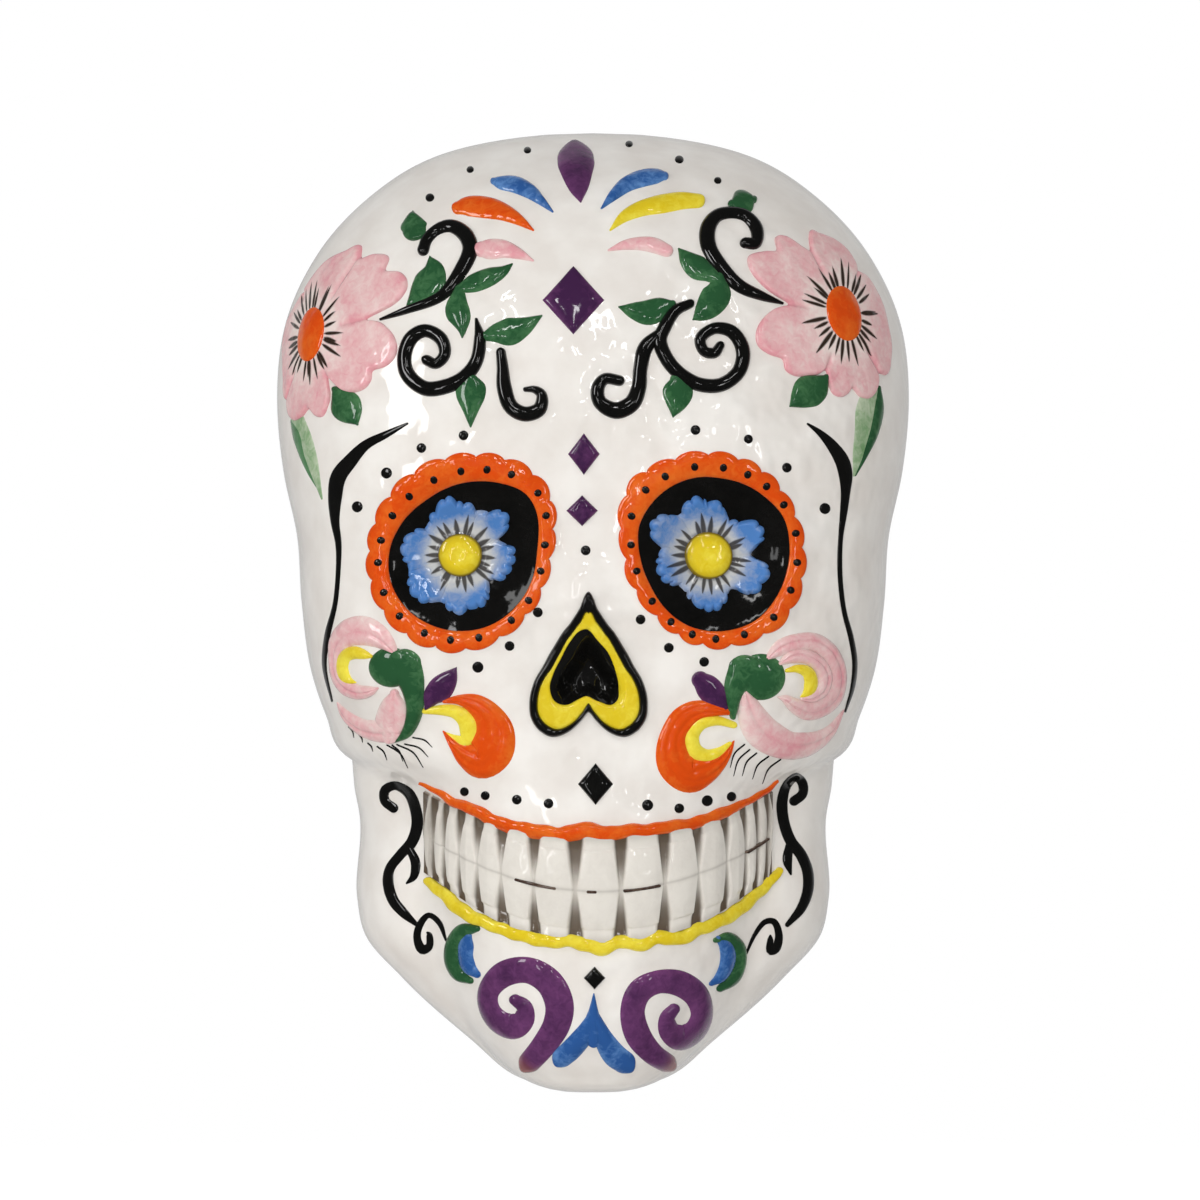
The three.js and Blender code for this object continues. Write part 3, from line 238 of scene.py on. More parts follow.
# %% Bite
# Mouth lines: lowest point, and rise with the square of the distance from it
UPPER_LIP = (1.5, 77.0, 0.0054)
LOWER_LIP = (2.5, 45.5, 0.0068)
BITE = (2.0, 61.0, 0.0062)
MOUTH_HALF_WIDTH = 50.0
MOUTH_DEPTH = 3.0
BITE_LAP, BITE_SLOPE = 1.0, 5.0  # the step begins so far outside a lip line and is full so far inside it
CORNER_FADE = 8.0


def along_line(line, x):
    """Mouth line: lowest height plus rise times the square of the distance from its lowest point."""
    middle, lowest, rise = line
    return lowest + rise * (x - middle) ** 2


def bite(x, z):
    """Between the two lip lines the skin steps back, and it runs out at the corners of the mouth."""
    lower, upper = along_line(LOWER_LIP, x), along_line(UPPER_LIP, x)
    below_lip = 1 - smooth(z, upper - BITE_SLOPE, upper + BITE_LAP)
    inside = smooth(z, lower - BITE_LAP, lower + BITE_SLOPE) * below_lip
    return -MOUTH_DEPTH * inside * (1 - smooth(np.abs(x), MOUTH_HALF_WIDTH - CORNER_FADE, MOUTH_HALF_WIDTH))


print("step at the bite in mm:", float(bite(BITE[0], BITE[1])))

# %% [markdown]
# ## The whole skin
# Gentle bell-shaped swellings add cheekbones, brows, the bridge of the nose and the chin. All steps
# fade out toward the rim, so the outline stays clean. A point of an ornament is found on the skin and
# moved out along its normal, so that relief stands square on the surface at the turned sides too.

# %% The whole skin
# Soft swellings: x, z, spread across, spread up, rise
SWELLINGS = [
    (-64, 121, 15, 13, 4), (58, 120, 15, 13, 4), (-36, 190, 26, 9, 2), (32, 190, 26, 9, 2),
    (-1, 146, 9, 17, 3), (0, 26, 22, 13, 2),
]
STEPS_FROM, STEPS_FULL = 6.0, 30.0  # depths off the wall between which the face's steps grow


def skin_depth(x, z):
    """Plain depth plus the face's steps, which are nothing at the wall and full where the head is deep."""
    plain = plain_depth(x, z)
    step = sockets(x, z) + nose(x, z) + bite(x, z)
    for mid_x, mid_z, wide, high, rise in SWELLINGS:
        step = step + rise * np.exp(-(((x - mid_x) / wide) ** 2) - ((z - mid_z) / high) ** 2)
    return plain + step * smooth(plain, STEPS_FROM, STEPS_FULL)


def on_skin(x, z, lift=0.0):
    """Skin point moved out along its normal, the cross product of a short chord across and one up."""
    probe, end_room, side_share = 0.25, 0.4, 0.985  # half a chord, and how near the outline it is laid
    x, z, lift = np.broadcast_arrays(as_is(x), as_is(z), as_is(lift))
    z_in = np.clip(z, end_room, HEIGHT - end_room)
    reach = half_width(z_in) * side_share
    x_in = np.clip(x, -reach, reach)
    right = to_frame(x_in + probe, skin_depth(x_in + probe, z_in), z_in)
    left = to_frame(x_in - probe, skin_depth(x_in - probe, z_in), z_in)
    above = to_frame(x_in, skin_depth(x_in, z_in + probe), z_in + probe)
    below = to_frame(x_in, skin_depth(x_in, z_in - probe), z_in - probe)
    normal = np.cross(right - left, above - below)
    normal = normal / np.linalg.norm(normal, axis=-1, keepdims=True)
    return to_frame(x, skin_depth(x, z), z) + normal * lift[..., None] * MM


print("socket floor in mm:", float(skin_depth(EYES["left"]["x"], EYES["left"]["z"])))

# %% [markdown]
# ## Glazes
# Underglaze painting has three layers: white clay, brushed colour, and a clear glaze that flows smooth
# in the kiln. The colour is never even: it is deep where the brush left more paint and lets the white
# through where it was thin. So each finish mixes a deep and a thin colour by a painted mark named wash,
# by brush streaks and by a soft mottle, and a second mark named ink adds fine dark strokes. Both marks
# also carry painted shade in a few grooves, gaps and creases. An image would fix all that in pixels;
# marks on the points and noise keep it sharp at any size. The clear glaze has a low roughness and the
# index of glass, with a slow ripple that bends the highlights.

# %% Helpers for materials


def srgb(code):
    """sRGB hex to linear: a straight toe below 0.04045, and a 2.4 power above it."""
    value = np.array([int(code[i : i + 2], 16) for i in (1, 3, 5)]) / 255
    linear = np.where(value <= 0.04045, value / 12.92, ((value + 0.055) / 1.055) ** 2.4)
    return (*linear, 1.0)


def add_node(tree, kind, settings=None, values=None, links=None):
    """Add a node, set its options and its sockets' values, and link other nodes' outputs to it."""
    node = tree.nodes.new(kind)
    for option, value in (settings or {}).items():
        setattr(node, option, value)
    for socket, value in (values or {}).items():
        node.inputs[socket].default_value = value
    for socket, source in (links or {}).items():
        tree.links.new(source, node.inputs[socket])
    return node


def per_metre(millimetres):
    """Noise scale whose waves are about this long."""
    return 1 / (millimetres * MM)


def new_material(name):
    """Empty node material: its tree and its output node."""
    material = bpy.data.materials.new(name)
    material.use_nodes = True
    material.node_tree.nodes.clear()
    return material, material.node_tree, material.node_tree.nodes.new("ShaderNodeOutputMaterial")


COLOUR_A, COLOUR_B, COLOUR_OUT = 6, 7, 2  # sockets of a colour Mix node
GLAZE_IOR = 1.5


def glaze(name, deep, thin, ink="#2B211B", streak=0.5, gloss=0.08, ripple=0.5, mirror=0.5):
    """Underglaze colour below a clear glaze: thin to deep by wash, streaks and mottle, then ink."""
    material, tree, output = new_material(name)
    place = add_node(tree, "ShaderNodeTexCoord").outputs["Object"]
    wash = add_node(tree, "ShaderNodeAttribute", {"attribute_name": "wash"}).outputs["Fac"]
    inked = add_node(tree, "ShaderNodeAttribute", {"attribute_name": "ink"}).outputs["Fac"]
    # Bristle streaks about 2 mm apart over a mottle of about 9 mm
    bristles = add_node(tree, "ShaderNodeTexNoise", values={"Scale": per_metre(2.2), "Detail": 5.0,
        "Roughness": 0.62, "Distortion": 0.8}, links={"Vector": place}).outputs["Fac"]
    mottle = add_node(tree, "ShaderNodeTexNoise", values={"Scale": per_metre(9), "Detail": 3.0},
        links={"Vector": place}).outputs["Fac"]
    uneven = add_node(tree, "ShaderNodeMath", {"operation": "ADD"},
        links={0: bristles, 1: mottle}).outputs[0]
    spread = add_node(tree, "ShaderNodeMapRange", values={"From Min": 0.7, "From Max": 1.3,
        "To Min": -streak, "To Max": streak}, links={"Value": uneven}).outputs[0]
    paint = add_node(tree, "ShaderNodeMath", {"operation": "ADD", "use_clamp": True},
        links={0: wash, 1: spread}).outputs[0]
    body = add_node(tree, "ShaderNodeMix", {"data_type": "RGBA"},
        {COLOUR_A: srgb(thin), COLOUR_B: srgb(deep)}, {"Factor": paint}).outputs[COLOUR_OUT]
    colour = add_node(tree, "ShaderNodeMix", {"data_type": "RGBA"}, {COLOUR_B: srgb(ink)},
        {"Factor": inked, COLOUR_A: body}).outputs[COLOUR_OUT]
    # The melted glaze swells and dips about every 5 mm
    swell = add_node(tree, "ShaderNodeTexNoise", values={"Scale": per_metre(5), "Detail": 1.5},
        links={"Vector": place}).outputs["Fac"]
    bump = add_node(tree, "ShaderNodeBump", values={"Strength": ripple, "Distance": 1.2 * MM},
        links={"Height": swell}).outputs["Normal"]
    shader = add_node(tree, "ShaderNodeBsdfPrincipled", values={"Roughness": gloss, "IOR": GLAZE_IOR,
        "Specular IOR Level": mirror}, links={"Base Color": colour, "Normal": bump})
    tree.links.new(shader.outputs["BSDF"], output.inputs["Surface"])
    return material


print("mid grey in linear light:", round(srgb("#808080")[0], 3))

# %% [markdown]
# ## The colours
# The painter used a small set of colours, and each is one finish here: a deep tone where the paint is
# thick, and a thin one where the brush let the clay through. The tones are matched to the photograph
# under this light. One function makes them all, as one clear glaze covers them all.

# %% The finishes
# Clear glaze over white clay, faintly warm; its ink is the brown between the teeth, partly a wash and
# partly painted shade
WHITE = glaze("white_glazed_earthenware", "#E5E0D7", "#DAD4CB", ink="#584939", streak=0.4)
# Glossy black underglaze: near black, lifted only by its highlights
BLACK = glaze("black_underglaze", "#0B0B0A", "#161514", streak=0.4, gloss=0.07, ripple=0.15)
# The same black under a thinner glaze, so that the bowls of the eyes stay dark
DISH_BLACK = glaze("socket_black_underglaze", "#0B0B0A", "#161514", streak=0.4, gloss=0.07, ripple=0.15,
    mirror=0.2)
# Copper green brushed on in streaks
GREEN = glaze("copper_green_underglaze", "#285433", "#548457", streak=0.5, ripple=0.3)
# Orange, yellower where it is thin
ORANGE = glaze("orange_underglaze", "#DC4C0C", "#EA7C2A", streak=0.38)
# Lemon yellow, brighter where it is thin; its ink is painted brown shade down the flanks and at the foot of
# the eye hearts
YELLOW = glaze("yellow_underglaze", "#E0C524", "#F8EC58", ink="#6E5A1C", streak=0.4)
# Purple, nearly black where it is thick; its ink is the rusty tail of the chin spirals
PURPLE = glaze("manganese_purple_underglaze", "#3F2045", "#824A7F", ink="#9A5530", streak=0.25, ripple=0.18)
# Strong blue brushed on in pale streaks
BLUE = glaze("cobalt_blue_underglaze", "#2C5898", "#6C9AD2", streak=0.5)
# Cobalt wash that is nearly grey-white at the heart of the flower and blue at its tips
PALE_BLUE = glaze("cobalt_wash_underglaze", "#4F80C0", "#C2C3C2", ink="#2B2521", streak=0.3)
# Pink wash, nearly white where it was wiped back
PINK = glaze("pink_wash_underglaze", "#E19CA3", "#F0E0D9", ink="#33271F", streak=0.35)
# Faded green wash of the long temple leaves
PALE_GREEN = glaze("pale_green_wash", "#6F9A66", "#C3CFB4", streak=0.5)
# Thin iron-brown line between the rows of teeth
BROWN = glaze("iron_brown_underglaze", "#43342D", "#7A6A5D", streak=0.6)
colours = [material.name for material in bpy.data.materials if material.name.endswith("underglaze")]
print("underglaze colours:", colours)

# %% [markdown]
# ## From grids to pieces
# Every new surface is a grid of points. A closed strip wraps one way of the grid into a ring and caps
# its two ends; a rosette wraps the other way round its middle. One function joins such grids into a
# mesh, stores the painted marks on its points, welds poles and seams, turns the faces outward, and lets
# the piece ride on the part's only body.

# %% Mesh maker
MARKS = ("wash", "ink")
SHARP_ANGLE = 60  # degrees between two faces; flatter edges are shaded smooth
pieces = []


def grid_faces(rows, columns, loop, ring):
    """Quads between neighbouring points; loop joins the last row to the first, ring the columns."""
    i = np.arange(rows if loop else rows - 1)[:, None]
    j = np.arange(columns if ring else columns - 1)[None, :]
    below, right = (i + 1) % rows, (j + 1) % columns
    corners = np.broadcast_arrays(
        i * columns + j, i * columns + right, below * columns + right, below * columns + j
    )
    return np.stack([corner.ravel() for corner in corners], axis=1)


def weld(mesh):
    """Merge points closer than a micrometre, and turn all faces outward."""
    work = bmesh.new()
    work.from_mesh(mesh)
    bmesh.ops.remove_doubles(work, verts=work.verts, dist=1e-6)
    bmesh.ops.recalc_face_normals(work, faces=work.faces)
    work.to_mesh(mesh)
    work.free()


def make_piece(name, patches, finish, node=None):
    """Join patches (grid, loop, ring, marks) into one object that rides on the part."""
    points, faces, marks, first = [], [], {mark: [] for mark in MARKS}, 0
    for grid, loop, ring, painted in patches:
        rows, columns = grid.shape[:2]
        points.append(grid.reshape(-1, 3))
        faces += (grid_faces(rows, columns, loop, ring) + first).tolist()
        if ring and not loop:
            cap = np.arange(columns) + first
            faces += [cap[::-1].tolist(), (cap + (rows - 1) * columns).tolist()]
        for mark in MARKS:
            marks[mark].append(np.broadcast_to(painted.get(mark, 0.0), (rows, columns)).ravel())
        first += rows * columns
    mesh = bpy.data.meshes.new(name)
    mesh.from_pydata(np.concatenate(points), [], faces)
    for mark in MARKS:
        layer = mesh.attributes.new(mark, "FLOAT", "POINT")
        layer.data.foreach_set("value", np.concatenate(marks[mark]).astype(np.float32))
    weld(mesh)
    mesh.shade_smooth()
    mesh.set_sharp_from_angle(angle=np.radians(SHARP_ANGLE))
    mesh.materials.append(finish)
    piece = bpy.data.objects.new(name, mesh)
    bpy.context.scene.collection.objects.link(piece)
    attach(piece, "root")
    if node:
        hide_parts(node)
    pieces.append(piece)
    return piece


print("painted marks:", MARKS)

# %% [markdown]
# ## The cast shell
# Slip casting leaves an even wall, so the hollow is the same head moved in by six millimetres, without
# the small features. A Solidify modifier would follow every small feature too, so the inside is its own
# surface. Both faces share their rows, and a flat rim joins them on the wall plane. The outside is
# glazed white and the inside is bare clay, so the mark wash tells them apart.

# %% Shell surface
WALL = 6.0
SHELL_ROWS, ROW_CROWDING = 250, 0.35
OUTER_COLUMNS, INNER_COLUMNS = 240, 80
COLUMN_ARC = 2.5
HOLLOW_SPREAD = 1.5  # the bumps in the hollow are this much wider than the features in front of them


def row_heights(count, crowding):
    """Heights from chin to crown, closer together at both ends: share minus a sine wave."""
    share = np.linspace(0, 1, count)
    return HEIGHT * (share - crowding * np.sin(2 * np.pi * share) / (2 * np.pi))


def column_shares(count):
    """Shares of the half width, spaced round a squared-off arc so that the steep sides get enough."""
    angle = np.linspace(-np.pi / 2, np.pi / 2, count)
    norm = np.abs(np.sin(angle)) ** COLUMN_ARC + np.abs(np.cos(angle)) ** COLUMN_ARC
    return np.sin(angle) * norm ** (-1 / COLUMN_ARC)


def hollow_depth(x, z):
    """The hollow's own form: the plain head with wide soft bumps behind sockets and nose."""
    plain = plain_depth(x, z)
    walls = [1 - smooth(eye_share(eye, x, z), SOCKET_FLOOR, HOLLOW_SPREAD) for eye in EYES.values()]
    nose_share = np.hypot(x - NOSE_X, z - NOSE_Z) / (HOLLOW_SPREAD * NOSE_CAVITY[0][1])
    step = -SOCKET_DEPTH * np.maximum(*walls) - NOSE_DEPTH * np.exp(-(nose_share**2))
    return plain + step * smooth(plain, STEPS_FROM, STEPS_FULL)


def inside_shell(share, z):
    """Point of the hollow: narrowed and moved back by the wall, squeezed between chin and crown."""
    wide = np.maximum(half_width(z), WALL)
    x = share * half_width(z)
    depth = np.maximum(hollow_depth(x, z) - WALL, 0)
    return to_frame(x * (1 - WALL / wide), depth, WALL + z * (HEIGHT - 2 * WALL) / HEIGHT)


rows = row_heights(SHELL_ROWS, ROW_CROWDING)[:, None]
outer_x = column_shares(OUTER_COLUMNS)[None, :] * half_width(rows)
outer = to_frame(outer_x, skin_depth(outer_x, rows), rows + 0 * outer_x)
inner = inside_shell(column_shares(INNER_COLUMNS)[None, ::-1], rows)
shell_grid = np.concatenate([outer, inner], axis=1)
glazed = np.concatenate([np.ones(OUTER_COLUMNS), np.zeros(INNER_COLUMNS)])[None, :]
print("shell grid:", shell_grid.shape)

# %% [markdown]
# ## Shell finish
# The glazed outside is a warm white with a faint mottle, and the inside is bare, matt, buff clay. The
# shell is one piece, so one material holds both and the mark wash chooses between them. The real glaze
# ran thicker in places and is more rippled there, so the strength of the bump varies in broad pools.

# %% Shell finish: glazed outside, bare buff clay inside


def cast_shell_finish():
    """White glaze where wash is 1, matt buff clay where it is 0, both with their own grain."""
    material, tree, output = new_material("white_glaze_over_buff_earthenware")
    place = add_node(tree, "ShaderNodeTexCoord").outputs["Object"]
    wash = add_node(tree, "ShaderNodeAttribute", {"attribute_name": "wash"}).outputs["Fac"]
    # White with a mottle of about 14 mm, and clay with a grit of 1.5 mm, as coarse as it needs to show
    mottle = add_node(tree, "ShaderNodeTexNoise", values={"Scale": per_metre(14), "Detail": 4.0},
        links={"Vector": place}).outputs["Fac"]
    grit = add_node(tree, "ShaderNodeTexNoise", values={"Scale": per_metre(1.5), "Detail": 3.0},
        links={"Vector": place}).outputs["Fac"]
    tint = add_node(tree, "ShaderNodeMapRange", values={"From Min": 0.35, "From Max": 0.68},
        links={"Value": mottle}).outputs[0]
    white = add_node(tree, "ShaderNodeMix", {"data_type": "RGBA"},
        {COLOUR_A: srgb("#E8E2DB"), COLOUR_B: srgb("#F3EFE9")}, {"Factor": tint}).outputs[COLOUR_OUT]
    buff = add_node(tree, "ShaderNodeMix", {"data_type": "RGBA"},
        {COLOUR_A: srgb("#C9BBA8"), COLOUR_B: srgb("#DDD3C4")}, {"Factor": grit}).outputs[COLOUR_OUT]
    colour = add_node(tree, "ShaderNodeMix", {"data_type": "RGBA"},
        links={"Factor": wash, COLOUR_A: buff, COLOUR_B: white}).outputs[COLOUR_OUT]
    gloss = add_node(tree, "ShaderNodeMapRange", values={"To Min": 0.75, "To Max": 0.06},
        links={"Value": wash}).outputs[0]
    # Glaze swells about every 7 mm, strongest in pools of about 32 mm, on the front and toward the right
    swell = add_node(tree, "ShaderNodeTexNoise", values={"Scale": per_metre(7), "Detail": 1.0,
        "Roughness": 0.4}, links={"Vector": place}).outputs["Fac"]
    pool = add_node(tree, "ShaderNodeTexNoise", values={"Scale": per_metre(32), "Detail": 1.0},
        links={"Vector": place}).outputs["Fac"]
    axes = add_node(tree, "ShaderNodeSeparateXYZ", links={0: place}).outputs
    drift = add_node(tree, "ShaderNodeMath", {"operation": "MULTIPLY_ADD"}, {1: 3.0},
        {0: axes["X"], 2: pool}).outputs[0]
    wavy = add_node(tree, "ShaderNodeMapRange", values={"From Min": 0.42, "From Max": 0.6, "To Min": 0.15,
        "To Max": 0.7}, links={"Value": drift}).outputs[0]
    front = add_node(tree, "ShaderNodeMapRange", values={"From Min": -35 * MM, "From Max": -60 * MM,
        "To Min": 0.15}, links={"Value": axes["Y"]}).outputs[0]
    waves = add_node(tree, "ShaderNodeMath", {"operation": "MULTIPLY"},
        links={0: wavy, 1: front}).outputs[0]
    rough = add_node(tree, "ShaderNodeMix", {"data_type": "FLOAT"},
        links={"Factor": wash, 2: grit, 3: swell}).outputs[0]
    bump = add_node(tree, "ShaderNodeBump", values={"Distance": 2.2 * MM},
        links={"Height": rough, "Strength": waves}).outputs["Normal"]
    shader = add_node(tree, "ShaderNodeBsdfPrincipled", values={"IOR": GLAZE_IOR},
        links={"Base Color": colour, "Roughness": gloss, "Normal": bump})
    tree.links.new(shader.outputs["BSDF"], output.inputs["Surface"])
    return material


SHELL = cast_shell_finish()
shell = make_piece("cast_shell", [(shell_grid, False, True, {"wash": glazed})], SHELL,
    "skull_shell")
print("shell faces:", len(shell.data.polygons))

# %% [markdown]
# ## The hanging web
# A bar of clay is luted across the back of the crown before firing, with a hole for the nail. It isn't
# seen from the front. It is drawn as a ring round the nail hole: each spoke runs out until it meets the
# hollow or the straight lower edge, and the ring's section goes round the front, the outer edge, the
# back and the bore.

# %% Web surface
WEB_LOW = 228.0
WEB_THICKNESS, WEB_ROUNDING = 5.0, 0.8
WEB_REACH = 90.0  # longer than any spoke
SPOKES, SPOKE_STEPS = 180, 900
HOLE_Z, HOLE_RADIUS = 246.0, 4.0
spokes = np.linspace(0, 2 * np.pi, SPOKES, endpoint=False)[:, None]
reach = np.linspace(HOLE_RADIUS, WEB_REACH, SPOKE_STEPS)
probe_x = np.cos(spokes) * reach
probe_z = HOLE_Z + np.sin(spokes) * reach
skin_z = np.clip((probe_z - WALL) * HEIGHT / (HEIGHT - 2 * WALL), 0, HEIGHT)
fits = (np.abs(probe_x) < half_width(skin_z) - WALL) & (probe_z > WEB_LOW) & (probe_z < HEIGHT - WALL)
edge = np.max(np.where(np.cumprod(fits, axis=1), reach, HOLE_RADIUS), axis=1)[:, None]
# Section: way out from the bore or the outer edge, and depth off the wall
section = np.array([
    [0, 0.0], [0, WEB_THICKNESS - WEB_ROUNDING], [WEB_ROUNDING, WEB_THICKNESS],
    [-WEB_ROUNDING, WEB_THICKNESS], [0, WEB_THICKNESS - WEB_ROUNDING], [0, 0.0],
])
at_bore = np.array([True] * 3 + [False] * 3)
radius = np.where(at_bore, HOLE_RADIUS, edge) + section[:, 0]
web_grid = to_frame(np.cos(spokes) * radius, section[:, 1], HOLE_Z + np.sin(spokes) * radius)
make_piece("nail_web", [(web_grid, True, True, {"wash": 0.0})], SHELL, "hanging_web")
print("web reaches", edge.max().round(1), "mm from the nail hole")

# %% [markdown]
# ## Ornament laid like brush strokes
# Scrolls, leaves, drops and petals were modelled as soft ropes and pads of clay. Each one is drawn as a
# spine of [x, z, half width], the way a brush is pressed and lifted. A bevelled curve would float over
# the face; a rounded section carried along the spine on the skin follows every swelling below it.

# %% Stroke surface
STATION_STEP, FEWEST_STATIONS = 0.7, 12  # spacing of the sections along a spine, and their least count
SECTION_POINTS, GROOVED_POINTS = 11, 41
END_POINTS = 10
POINT = 0.06  # half width at a pointed end
FULL_RELIEF_WIDTH, THINNING = 1.6, 0.7  # narrower strokes are lower, by this power
TURN_ROOM = 0.9  # share of the radius of a turn that a section may fill
WAVE_LENGTH = 6.3  # of a wavy cord
GROOVE_DEPTH, GROOVE_SHADE, GROOVE_SPREAD = 0.24, 0.14, 0.16  # shares of relief, of the wash as painted shade, and of width
EDGE_WASH, CROWN_WASH = 0.55, 0.45  # the paint is thinner at the edges
END_INK = 0.7


def spine_through(points, straight):
    """Stations along a spine: centripetal spacing, a cubic for x, z and half width, and round ends."""
    keys = np.asarray(points, float)
    chord = np.hypot(*np.diff(keys[:, :2], axis=0).T)
    knots = np.concatenate([[0], np.cumsum(chord if straight else np.sqrt(chord))])
    t = np.linspace(0, knots[-1], max(FEWEST_STATIONS, int(chord.sum() / STATION_STEP)))
    if straight:
        t = np.union1d(t, knots)
        x, z, wide = [np.interp(t, knots, key) for key in keys.T]
    else:
        x, z, wide = [through_keys(np.stack([knots, key], axis=1))(t) for key in keys.T]
    line = np.stack([x, z], axis=1)
    wide = np.maximum(wide, POINT)
    turn = np.linspace(np.pi / 2, 0, END_POINTS, endpoint=False)[1:]
    start = (line[0] - line[1]) / np.linalg.norm(line[0] - line[1])
    finish = (line[-1] - line[-2]) / np.linalg.norm(line[-1] - line[-2])
    head = line[0] + start * (wide[0] * np.sin(turn))[:, None]
    tail = line[-1] + finish * (wide[-1] * np.sin(turn[::-1]))[:, None]
    line = np.concatenate([head, line, tail])
    wide = np.concatenate([wide[0] * np.cos(turn), wide, wide[-1] * np.cos(turn[::-1])])
    return line, wide


def inner_room(way, run):
    """Room to the left and right of a spine before its sections cross: a share of the turn's radius."""
    turned = np.gradient(np.unwrap(np.arctan2(way[:, 1], way[:, 0]))) / np.gradient(run[:, 0])
    return [TURN_ROOM / np.maximum(side * turned, 1e-6)[:, None] for side in (1, -1)]


def stroke(points, relief, plump=2.2, soft=0.8, straight=False, base=0.0, wash=1.0, root=0.5, ink_ends=None,
        wave=0.0, grooves=()):
    """Strip on a spine: lift = base + relief * (1 - |v|^plump)^soft, v from -1 to 1, less the grooves."""
    line, wide = spine_through(points, straight)
    way = np.gradient(line, axis=0)
    way = way / np.linalg.norm(way, axis=1, keepdims=True)
    run = np.concatenate([[0], np.cumsum(np.hypot(*np.diff(line, axis=0).T))])[:, None]
    count = GROOVED_POINTS if grooves else SECTION_POINTS
    # The section runs over the top, and its last two points lie under the skin
    v = np.concatenate([-np.cos(np.linspace(0, np.pi, count)), [1.0, -1.0]])
    height = relief * np.minimum(1, wide / FULL_RELIEF_WIDTH) ** THINNING
    crown = np.clip(1 - np.abs(v) ** plump, 0, 1) ** soft
    notch = sum([np.exp(-(((v - groove) / GROOVE_SPREAD) ** 2)) for groove in grooves], 0 * v)
    under = np.arange(len(v)) >= count
    lift = np.where(under, -root, base + height[:, None] * crown * (1 - GROOVE_DEPTH * notch))
    left, right = inner_room(way, run)
    half = np.minimum(wide[:, None], np.where(v > 0, left, right))
    across = half * v + wave * np.sin(2 * np.pi * run / WAVE_LENGTH)
    x = line[:, :1] - way[:, 1:] * across
    z = line[:, 1:] + way[:, :1] * across
    # The grooves deepen the wash as painted shade
    marks = {"wash": wash * (EDGE_WASH + CROWN_WASH * crown) + GROOVE_SHADE * notch + 0 * lift}
    if ink_ends is not None:
        marks["ink"] = END_INK * (1 - smooth(run / run[-1], 0, ink_ends)) + 0 * lift
    return on_skin(x, z, lift), False, True, marks


print("section points:", SECTION_POINTS, "and with grooves:", GROOVED_POINTS)

# %% [markdown]
# ## Crown drops and brow diamonds
# Seven drops in five colours fan out over the crown, and purple lozenges run down the middle of the
# brow. Both are flat pads with a soft edge. A drop is one stroke that swells toward its round end, and
# a lozenge is a straight stroke that is widest in its middle, so neither needs a shape of its own.

# %% Crown drops and brow diamonds
DROP_RELIEF, DIAMOND_RELIEF = 1.2, 1.3
CROWN_DROPS = {
    "purple": (PURPLE, "purple_glaze", [[-3.5, 257, 0.3], [-4, 260.5, 2.6], [-4.5, 265, 4.3],
        [-4.8, 268.5, 5.3], [-5, 270.6, 5.3]]),
    "blue_left": (BLUE, "blue_glaze", [[-11.5, 254, 0.3], [-15, 257.5, 1.4], [-18.5, 260.5, 2.3],
        [-22.5, 262.5, 2.6], [-26.5, 263, 2], [-28.5, 263.5, 1]]),
    "blue_right": (BLUE, "blue_glaze", [[2.5, 255, 0.3], [6, 259, 1.6], [10, 262.5, 2.4], [15, 264.5, 2.7],
        [18.5, 265, 2.3], [20.5, 265, 1.3]]),
    "orange": (ORANGE, "orange_glaze", [[-17, 248.5, 0.3], [-21, 251.5, 1.6], [-25.5, 254, 2.6],
        [-30.5, 255.5, 3.3], [-36, 256, 3], [-38.5, 255.5, 2]]),
    "yellow": (YELLOW, "yellow_glaze", [[5, 248.5, 0.3], [9, 252.5, 1.7], [14, 255, 2.4], [20, 256.5, 2.9],
        [25.5, 257.5, 2.7], [30, 257.5, 2.2]]),
    "pink_left": (PINK, "pink_glaze", [[-17, 239.5, 0.3], [-21, 241.5, 1.6], [-25.5, 243, 2.7],
        [-29.5, 243, 3], [-31.5, 243, 2.4]]),
    "pink_right": (PINK, "pink_glaze", [[4.5, 242.5, 0.3], [9, 244, 1.4], [13.5, 244.5, 2],
        [17.5, 244, 2.3], [21, 242.5, 1.9]]),
}
# Lozenges: x, z, half width, half height
BROW_DIAMONDS = {
    "large": (-5.5, 228, 8.8, 9.8),
    "upper": (-2.5, 184.2, 4.5, 5.8),
    "lower": (-3, 168.2, 4.5, 4.3),
}


def diamond(x, z, half, high):
    """Lozenge: a straight stroke from point to point, with a flat pillow section."""
    spine = [[x, z + high, POINT], [x, z, half], [x, z - high, POINT]]
    return stroke(spine, DIAMOND_RELIEF, plump=3.5, soft=0.7, straight=True)


for name, (finish, slot, spine) in CROWN_DROPS.items():
    drop = stroke(spine, DROP_RELIEF, plump=3.0, wash=0.8)
    make_piece(f"drop_{name}", [drop], finish, f"crown_drop_{name}")
for name, lozenge in BROW_DIAMONDS.items():
    make_piece(f"diamond_{name}", [diamond(*lozenge)], PURPLE, f"brow_diamond_{name}")
print("pieces so far:", len(pieces))

# %% [markdown]
# ## Black scrolls
# The vines and scrolls of the forehead are rolled ropes of clay, pressed on and painted black. They are
# strokes with a round section, and their width changes along the way as the fingers pressed them. The
# right scroll is two ropes that meet, so its piece has two spines.

